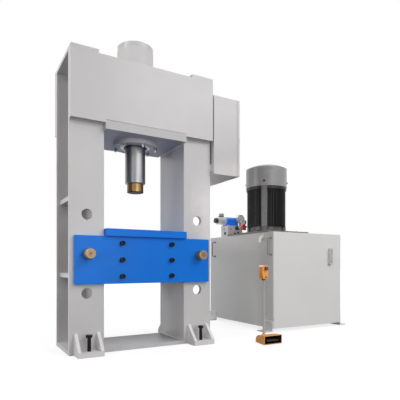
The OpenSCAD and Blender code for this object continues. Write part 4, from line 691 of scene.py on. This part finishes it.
# Frame welds: legs of the beads, the plates that they join, and where a bead stops short of an end
FRAME_LEG = 0.007
SEAM_LEG = 0.0016
FOOT_W = 0.168
FOOT_T = 0.030
FOOT_TOE = 0.012
FOOT_BEAD = 0.120
GUSSET_T = 0.020
BEAD_SHORT = 0.006
WEB_T = 0.025
RIB_T = 0.030

# Tank welds
TANK_LEG = 0.006
TANK_FOOT_W = 0.120

# Motor: bolts are given as across flats, height and washer, and screws as head and height
COWL_BOLT = (0.013, 0.007, 0.022)
COWL_BOLT_UP = 0.046
COWL_BOLT_SUNK = 0.0004
FLANGE_BOLT = (0.019, 0.010, 0.026)
FLANGE_T = 0.016
FLANGE_CIRCLE = 0.176
TERMINAL_MIDDLE = 1.242
TERMINAL_REACH = 0.269
LID_HALF = (0.079, 0.069)
LID_T = 0.008
LID_EDGE = 0.003
LID_SCREW = (0.012, 0.004)
LID_SCREW_IN = 0.011

# Tank cover
COVER_SCREW = (0.020, 0.004)
COVER_SCREW_IN = 0.024
COVER_SCREWS_A_SIDE = 4

# Gauge: angles in degrees, and a tick as its inner share of the dial's radius and half its width
GAUGE_RIM = 0.005
DIAL_DOWN = 0.009
DIAL_GAP = 0.0003
DIAL_SEAT = 0.00005
DIAL_T = 0.0006
TICKS = 27
TICK_FROM = 225
TICK_SWEEP = 270
TICK_OUTER = 0.92
LONG_TICK = (0.72, 0.0009)
SHORT_TICK = (0.82, 0.0005)
LONG_EVERY = 3
TICK_SUNK = 0.0002
TICK_T = 0.0003
TICK_EDGE = 0.0001
LENS_DOWN = 0.0022
LENS_WALL = 0.0012
LENS_T = 0.002
LENS_FLAT = 0.9

# Level gauge: the end of the tube, and of the oil in it, as radii and heights
LEVEL_WINDOW = 0.128
LEVEL_GAP = 0.002
TUBE_AHEAD = 0.0092
TUBE_END = ((0.002, 0), (0.0065, 0.003), (0.0088, 0.009))
OIL_END = ((0.004, 0.006), (0.0068, 0.010))
OIL_FILL = 0.6
OIL_BRIM = (0.006, 0.001)

# Valve group: plugs lie across and up from the manifold's lower left front corner.
# The gland is given as radii, or the flats of its hexagon, and heights.
FRONT_PORTS = ((0.090, 0.038), (0.133, 0.046))
SIDE_PORT = (0.052, 0.046)
FRONT_PORT_PLUG = (0.036, 0.004)
SIDE_PORT_PLUG = (0.032, 0.004)
FRONT_PLUGS = ((0.034, 0.034), (0.034, 0.092))
SIDE_PLUG = (0.067, 0.090)
SMALL_PLUG = (0.022, 0.004)
MANIFOLD_SCREW = (0.016, 0.009)
MANIFOLD_SCREW_IN = 0.013
COIL_LENGTH = 0.098
VALVE_HALF = 0.070
PLUG_SHIFT = 0.004
PLUG_SCREW = (0.009, 0.003)
GLAND_BACK = 0.017
GLAND_FLAT = hexagon(0.018)
GLAND = ((0.009, 0), (0.009, 0.006), (GLAND_FLAT, 0.006), (GLAND_FLAT, 0.014), (0.008, 0.018),
         (0.005, 0.018), (0.005, 0.010))

# Door gasket
GASKET_IN = 0.006
GASKET_T = 0.004
GASKET_W = 0.012
GASKET_EDGE = 0.001
GASKET_LIFT = 0.0005

# Foot station: turned trim is given as radii and heights
BOX_SCREW = (0.005, 0.002)
BOX_SCREW_ACROSS = 0.013
BOX_SCREW_UP = 0.034
BOX_SCREW_DOWN = 0.006
BLANK_UP = 0.014
BLANK_PLUG = ((0.006, 0), (0.006, 0.002), (0.005, 0.0035))
BUTTON_COLLAR = ((0.0135, 0), (0.0135, 0.0016), (0.0127, 0.0026), (0.0100, 0.0026), (0.0100, 0.0002))
POST_SEAL = ((0.015, 0), (0.015, 0.004), (0.012, 0.010))
PEDAL_SCREW = (0.008, 0.003)
PEDAL_SCREW_IN = 0.020
PEDAL_SCREW_BACK = 0.026


def weld_foot(bm, side, end):
    """Beads along one foot's gussets and plate: the side is left or right, and the end front or rear."""
    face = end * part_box("column_plates")[1].y
    feet_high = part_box("press_feet")[1]
    middle, out = side * (feet_high.x - FOOT_W / 2), Y * end
    toe, tip = end * (feet_high.y - FOOT_TOE), feet_high.z - BEAD_SHORT
    for edge in (-1, 1):
        outer = middle + edge * FOOT_W / 2
        inner = outer - edge * GUSSET_T
        inward = X * -edge
        weld(bm, (inner, face, FOOT_T), (inner, toe, FOOT_T), inward, Z, FRAME_LEG)
        weld(bm, (inner, face, FOOT_T), (inner, face, tip), inward, out, FRAME_LEG)
        weld(bm, (outer, face, BEAD_SHORT), (outer, face, tip), -inward, out, FRAME_LEG)
    left, right = middle - FOOT_BEAD / 2, middle + FOOT_BEAD / 2
    weld(bm, (left, face, FOOT_T), (right, face, FOOT_T), Z, out, FRAME_LEG)


def weld_column(bm, side):
    """Beads of one column's plates, web and ribs, and where the crown and the base meet it."""
    plates_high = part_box("column_plates")[1]
    webs_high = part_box("column_webs")[1]
    ribs_low, ribs_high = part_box("column_ribs")
    base_top, bed_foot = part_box("base_plate")[1].z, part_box("crown_bed")[0].z
    crown_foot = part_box("crown_front_plate")[0].z
    away = X * side
    near, inner = side * webs_high.x, side * (webs_high.x - WEB_T)
    wide, rib_end = side * plates_high.x, side * ribs_high.x
    faces = [(level, up) for foot in (ribs_low.z, ribs_high.z - RIB_T)
             for level, up in ((foot, -Z), (foot + RIB_T, Z))]
    for end in (-1, 1):
        out = Y * end
        face, back = end * plates_high.y, end * webs_high.y
        weld(bm, (near, back, base_top), (wide, back, base_top), Z, -out, FRAME_LEG)
        weld(bm, (inner, face, crown_foot), (wide, face, crown_foot), -Z, out, FRAME_LEG)
        for level, up in faces:
            weld(bm, (near, back, level), (rib_end, back, level), up, -out, FRAME_LEG)
    for level, up in faces:
        weld(bm, (near, -webs_high.y, level), (near, webs_high.y, level), up, away, FRAME_LEG)
    for level, up in ((base_top, Z), (bed_foot, -Z)):
        weld(bm, (inner, -plates_high.y, level), (inner, plates_high.y, level), up, -away, FRAME_LEG)


def add_frame_welds(paint):
    bm = bmesh.new()
    for side in (-1, 1):
        for end in (-1, 1):
            weld_foot(bm, side, end)
        weld_column(bm, side)
    bed_low, bed_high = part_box("crown_bed")
    for end in (-1, 1):
        seam = [(x, end * bed_high.y, bed_high.z) for x in (bed_low.x, bed_high.x)]
        for up in (-Z, Z):
            weld(bm, *seam, up, Y * end, SEAM_LEG)
    make_piece("frame_welds", bm, paint, "frame", WELD_SHARP)


def add_tank_welds(paint):
    bm = bmesh.new()
    low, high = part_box("tank_shell")
    feet_low, feet_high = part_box("tank_feet")
    for x, out in ((low.x, -X), (high.x, X)):
        for y, across in ((feet_low.y, Y), (feet_high.y, -Y)):
            far = y + across.y * TANK_FOOT_W
            for at, away in ((y, -across), (far, across)):
                weld(bm, (x, at, low.z), (x, at, feet_high.z), away, out, TANK_LEG)
            weld(bm, (x, y, feet_high.z), (x, far, feet_high.z), Z, out, TANK_LEG)
    make_piece("tank_welds", bm, paint, "frame", WELD_SHARP)


def spokes(count, first):
    """Level directions evenly round an upright axis, from a first angle in degrees."""
    for step in range(count):
        angle = math.radians(first + 360 * step / count)
        yield Vector((math.cos(angle), math.sin(angle), 0))


def add_motor_bolts(dark):
    low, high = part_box("fan_cowl")
    middle, radius = (low + high) / 2, (high.x - low.x) / 2
    bm = bmesh.new()
    ring = Vector((middle.x, middle.y, low.z + COWL_BOLT_UP))
    for out in spokes(4, 45):
        hex_bolt(bm, along(out, ring + out * (radius - COWL_BOLT_SUNK)), *COWL_BOLT)
    make_piece("cowl_screws", bm, dark, "frame")
    bm = bmesh.new()
    ring.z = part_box("motor_housing")[0].z + FLANGE_T
    for out in spokes(8, 22.5):
        hex_bolt(bm, along(Z, ring + out * FLANGE_CIRCLE), *FLANGE_BOLT)
    make_piece("flange_screws", bm, dark, "frame")


def add_terminal_lid(enamel, bright):
    """The lid of the box on the motor's rear right diagonal."""
    low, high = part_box("fan_cowl")
    middle = (low + high) / 2
    out = Vector((1, 1, 0)).normalized()
    lid = along(out, Vector((middle.x, middle.y, TERMINAL_MIDDLE)) + out * TERMINAL_REACH)
    bm = bmesh.new()
    block(bm, lid, (-LID_HALF[0], -LID_HALF[1], 0), (*LID_HALF, LID_T), LID_EDGE)
    make_piece("terminal_lid", bm, enamel, "frame")
    bm = bmesh.new()
    across, up = (half - LID_SCREW_IN for half in LID_HALF)
    for x in (-across, across):
        for y in (-up, up):
            pan_screw(bm, lid @ Matrix.Translation((x, y, LID_T)), *LID_SCREW)
    make_piece("lid_screws", bm, bright, "frame")


def add_cover_screws(dark):
    low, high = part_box("tank_cover")
    bm = bmesh.new()
    left, right = low.x + COVER_SCREW_IN, high.x - COVER_SCREW_IN
    front, rear = low.y + COVER_SCREW_IN, high.y - COVER_SCREW_IN
    for step in range(COVER_SCREWS_A_SIDE):
        share = step / COVER_SCREWS_A_SIDE
        x, y = left + (right - left) * share, front + (rear - front) * share
        for place in ((x, front), (right, y), (right - (x - left), rear), (left, rear - (y - front))):
            pan_screw(bm, along(Z, (*place, high.z)), *COVER_SCREW)
    make_piece("cover_screws", bm, dark, "frame")


def add_gauge():
    """The dial in the gauge's case, its ticks and its lens."""
    low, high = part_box("gauge_case")
    radius = (high.x - low.x) / 2
    x, z = (low.x + high.x) / 2, high.z - radius
    dial_y = low.y + DIAL_DOWN
    reach = radius - GAUGE_RIM
    disc = reach - DIAL_GAP
    bm = bmesh.new()
    turned(bm, along(-Y, (x, dial_y, z)), ((disc, DIAL_SEAT), (disc, DIAL_T)), DIAL_SIDES)
    make_piece("gauge_dial", bm, moulded("dial_white", DIAL_WHITE, coat=0.2), "frame")
    bm = bmesh.new()
    centre = Matrix.Translation((x, dial_y - DIAL_T, z))
    for step in range(TICKS + 1):
        turn = math.radians(TICK_FROM - TICK_SWEEP * step / TICKS)
        inner, half = SHORT_TICK if step % LONG_EVERY else LONG_TICK
        corners = (reach * inner, -TICK_T, -half), (reach * TICK_OUTER, TICK_SUNK, half)
        block(bm, centre @ Matrix.Rotation(-turn, 4, "Y"), *corners, TICK_EDGE)
    make_piece("gauge_ticks", bm, moulded("dial_ink", DIAL_INK), "frame")
    bm = bmesh.new()
    rows = ((disc, 0), (disc, LENS_WALL), (reach * LENS_FLAT, LENS_T))
    turned(bm, along(-Y, (x, low.y + LENS_DOWN, z)), rows, DIAL_SIDES)
    make_piece("gauge_lens", bm, clear("gauge_glass", LENS_CLEAR, 0.06), "frame")


def add_level_window():
    """The level gauge's glass tube and the oil in it."""
    low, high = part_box("level_gauge")
    middle = (low + high) / 2
    length = LEVEL_WINDOW - 2 * LEVEL_GAP
    window_y = high.y - (high.y - low.y) / 3
    tube = along(Z, (middle.x, window_y - TUBE_AHEAD, middle.z - length / 2))
    bm = bmesh.new()
    top = ((radius, length - height) for radius, height in reversed(TUBE_END))
    turned(bm, tube, (*TUBE_END, *top), SMALL_SIDES)
    make_piece("level_tube", bm, clear("level_glass", TUBE_CLEAR, 0.35), "frame")
    bm = bmesh.new()
    brim = OIL_FILL * length
    rows = (*OIL_END, (OIL_END[-1][0], brim), (OIL_BRIM[0], brim + OIL_BRIM[1]))
    turned(bm, tube, rows, SMALL_SIDES)
    make_piece("level_oil", bm, moulded("level_oil", OIL, coat=0.5), "frame")


def add_manifold_plugs(dark, bright):
    low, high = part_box("manifold")
    bm = bmesh.new()
    for x, z in FRONT_PORTS:
        socket_screw(bm, along(-Y, (low.x + x, low.y, low.z + z)), *FRONT_PORT_PLUG)
    socket_screw(bm, along(-X, (low.x, low.y + SIDE_PORT[0], low.z + SIDE_PORT[1])), *SIDE_PORT_PLUG)
    make_piece("port_plugs", bm, dark, "frame")
    bm = bmesh.new()
    for x, z in FRONT_PLUGS:
        socket_screw(bm, along(-Y, (low.x + x, low.y, low.z + z)), *SMALL_PLUG)
    socket_screw(bm, along(-X, (low.x, low.y + SIDE_PLUG[0], low.z + SIDE_PLUG[1])), *SMALL_PLUG)
    for corner, inset in ((low, MANIFOLD_SCREW_IN), (high, -MANIFOLD_SCREW_IN)):
        socket_screw(bm, along(Z, (corner.x + inset, corner.y + inset, high.z)), *MANIFOLD_SCREW)
    make_piece("manifold_screws", bm, bright, "frame")


def add_plug_glands(dark):
    """The screw and the cable gland of each solenoid's plug."""
    low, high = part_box("solenoids")
    middle = (low + high) / 2
    bm = bmesh.new()
    for side in (-1, 1):
        x = middle.x + side * (VALVE_HALF + COIL_LENGTH / 2 - PLUG_SHIFT)
        pan_screw(bm, along(Z, (x, middle.y, high.z)), *PLUG_SCREW)
        turned(bm, along(Y, (x, middle.y + GLAND_BACK, high.z - PLUG_HEIGHT / 2)), GLAND)
    make_piece("plug_glands", bm, dark, "frame")


def add_door_gasket(rubber):
    """Four strips inside the door. The shell's rear edge, without its hinges, mirrors its front edge."""
    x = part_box("cabinet_door")[0].x + GASKET_LIFT
    shell_low, shell_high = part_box("cabinet_shell")
    bottom, top = shell_low.z + GASKET_IN, shell_high.z - GASKET_IN
    front, rear = shell_low.y + GASKET_IN, -shell_low.y - GASKET_IN
    strips = (
        ((front, bottom), (rear, bottom + GASKET_W)),
        ((front, top - GASKET_W), (rear, top)),
        ((front, bottom + GASKET_W), (front + GASKET_W, top - GASKET_W)),
        ((rear - GASKET_W, bottom + GASKET_W), (rear, top - GASKET_W)),
    )
    bm = bmesh.new()
    for start, end in strips:
        block(bm, Matrix.Identity(4), (x, *start), (x + GASKET_T, *end), GASKET_EDGE)
    make_piece("door_gasket", bm, rubber, "cabinet_door")


def add_station_details(rubber, bright):
    """The foot station's screws, and the stop box's blank plug, button collar and post seal."""
    low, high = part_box("stop_box")
    middle = (low + high) / 2
    bm = bmesh.new()
    for x in (middle.x - BOX_SCREW_ACROSS, middle.x + BOX_SCREW_ACROSS):
        for z in (low.z + BOX_SCREW_UP, high.z - BOX_SCREW_DOWN):
            pan_screw(bm, along(-Y, (x, low.y, z)), *BOX_SCREW)
    make_piece("box_screws", bm, bright, "frame")
    bm = bmesh.new()
    turned(bm, along(-Y, (middle.x, low.y, low.z + BLANK_UP)), BLANK_PLUG, SMALL_SIDES)
    button_low, button_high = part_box("stop_button")
    collar = along(-Y, (middle.x, low.y, (button_low.z + button_high.z) / 2))
    turned(bm, collar, BUTTON_COLLAR, COLLAR_SIDES)
    turned(bm, along(-Z, (middle.x, middle.y, low.z)), POST_SEAL, SMALL_SIDES)
    make_piece("box_trim", bm, rubber, "frame")
    pedal_low, pedal_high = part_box("pedal_housing")
    bm = bmesh.new()
    for x in (pedal_low.x + PEDAL_SCREW_IN, pedal_high.x - PEDAL_SCREW_IN):
        pan_screw(bm, along(Z, (x, pedal_low.y + PEDAL_SCREW_BACK, pedal_high.z)), *PEDAL_SCREW)
    make_piece("pedal_screws", bm, bright, "frame")


def add_small_pieces():
    dark = machined("fastener_black", SCREW_BLACK, (0.3, 0.5))
    bright = machined("fastener_zinc", SCREW_ZINC, (0.22, 0.4))
    rubber = moulded("trim_rubber", TRIM_BLACK, rough=(0.5, 0.65), coat=0.0)
    grey, tank_grey, enamel = (nodes[name].data.materials[0]
                               for name in ("column_plates", "tank_shell", "motor_housing"))
    add_frame_welds(grey)
    add_tank_welds(tank_grey)
    add_motor_bolts(dark)
    add_terminal_lid(enamel, bright)
    add_cover_screws(dark)
    add_gauge()
    add_level_window()
    add_manifold_plugs(dark, bright)
    add_plug_glands(dark)
    add_door_gasket(rubber)
    add_station_details(rubber, bright)


# Studio: a floor and a world that the camera sees white, and lamps in watts

FLOOR_HALF = 60.0
FLOOR_DROP = 0.0005
FLOOR_PALE = (0.27, 0.27, 0.27, 1.0)
FLOOR_BOUNCE = (0.12, 0.12, 0.12, 1.0)
FLOOR_GLOW = 0.79
FLOOR_NEAR = 2.5
FLOOR_FAR = 8.0
WHITE = (1.0, 1.0, 1.0, 1.0)
WORLD_LOW = 0.08
WORLD_HIGH = 0.62
WORLD_FROM = (0.62, -0.62, 0.48)


def make_floor():
    """A pale floor that takes the shadow, and glows towards white where it is looked at."""
    bm = bmesh.new()
    corners = ((-1, -1), (1, -1), (1, 1), (-1, 1))
    bm.faces.new([bm.verts.new((x * FLOOR_HALF, y * FLOOR_HALF, -FLOOR_DROP)) for x, y in corners])
    mesh = bpy.data.meshes.new("floor")
    bm.to_mesh(mesh)
    bm.free()
    floor = bpy.data.objects.new("floor", mesh)
    bpy.context.scene.collection.objects.link(floor)
    material = bpy.data.materials.new("floor")
    material.use_nodes = True
    graph = Graph(material.node_tree)
    graph.tree.nodes.clear()
    place = graph.add("TexCoord").outputs["Object"]
    reach = graph.add("VectorMath", {0: place}, operation="LENGTH").outputs["Value"]
    level = graph.spread(reach, FLOOR_GLOW, 1.0, FLOOR_NEAR, FLOOR_FAR)
    glow = graph.add("Emission", {"Strength": graph.math("MULTIPLY", graph.seen(), level)})
    camera = graph.add("LightPath").outputs["Is Camera Ray"]
    pale = graph.add("BsdfDiffuse", {"Color": graph.mix(camera, FLOOR_BOUNCE, FLOOR_PALE)})
    both = graph.add("AddShader", {0: glow.outputs[0], 1: pale.outputs[0]})
    graph.add("OutputMaterial", {"Surface": both.outputs[0]})
    mesh.materials.append(material)


def make_world():
    """White where the camera, a gloss or glass looks, and a soft sky from the front right elsewhere."""
    world = bpy.data.worlds.new("studio")
    world.use_nodes = True
    bpy.context.scene.world = world
    graph = Graph(world.node_tree)
    graph.tree.nodes.clear()
    way = graph.add("TexCoord").outputs["Generated"]
    facing = graph.add("VectorMath", {0: way, 1: WORLD_FROM}, operation="DOT_PRODUCT").outputs["Value"]
    level = graph.spread(facing, WORLD_LOW, WORLD_HIGH, -1.0, 1.0)
    sky = graph.add("Background", {"Color": WHITE, "Strength": level})
    white = graph.add("Background", {"Color": WHITE, "Strength": 1.0})
    mixed = graph.add("MixShader", {0: graph.seen(), 1: sky.outputs[0], 2: white.outputs[0]})
    graph.add("OutputWorld", {"Surface": mixed.outputs[0]})


def make_lamp(name, place, target, size, watts, spread=math.pi):
    data = bpy.data.lights.new(name, "AREA")
    data.shape = "RECTANGLE"
    data.size, data.size_y = size
    data.energy = watts
    data.spread = spread
    lamp = bpy.data.objects.new(name, data)
    lamp.location = place
    lamp.rotation_euler = (Vector(target) - Vector(place)).to_track_quat("-Z", "Y").to_euler()
    bpy.context.scene.collection.objects.link(lamp)


def make_lamps():
    """Soft lamps round the press, and a narrow one that fills the shade on the valve group."""
    make_lamp("key", (3.2, -5.2, 4.6), (0.5, 0, 0.9), (3.5, 2.5), 158)
    make_lamp("front", (0.6, -6.6, 1.3), (0.6, 0, 0.8), (3.0, 3.0), 92)
    make_lamp("left", (-6.0, -3.0, 1.3), (0.3, 0, 0.7), (3.0, 2.0), 64)
    make_lamp("upper_left", (-4.6, -0.9, 4.6), (0.2, 0, 1.0), (1.5, 1.5), 70)
    make_lamp("rear_left", (-5.0, 1.7, 1.6), (1.2, 0.5, 0.6), (1.5, 1.5), 68)
    make_lamp("valve_fill", (-1.3, -3.3, 0.7), (1.38, 0.76, 1.16), (0.4, 0.4), 0.55, math.radians(7))
    make_lamp("rear", (1.5, 5.0, 5.0), (0.8, 0, 0.8), (4.0, 3.0), 110)


make_camera()
make_floor()
make_world()
make_lamps()
dress_solids()
add_small_pieces()
bpy.context.scene.view_settings.view_transform = "Standard"
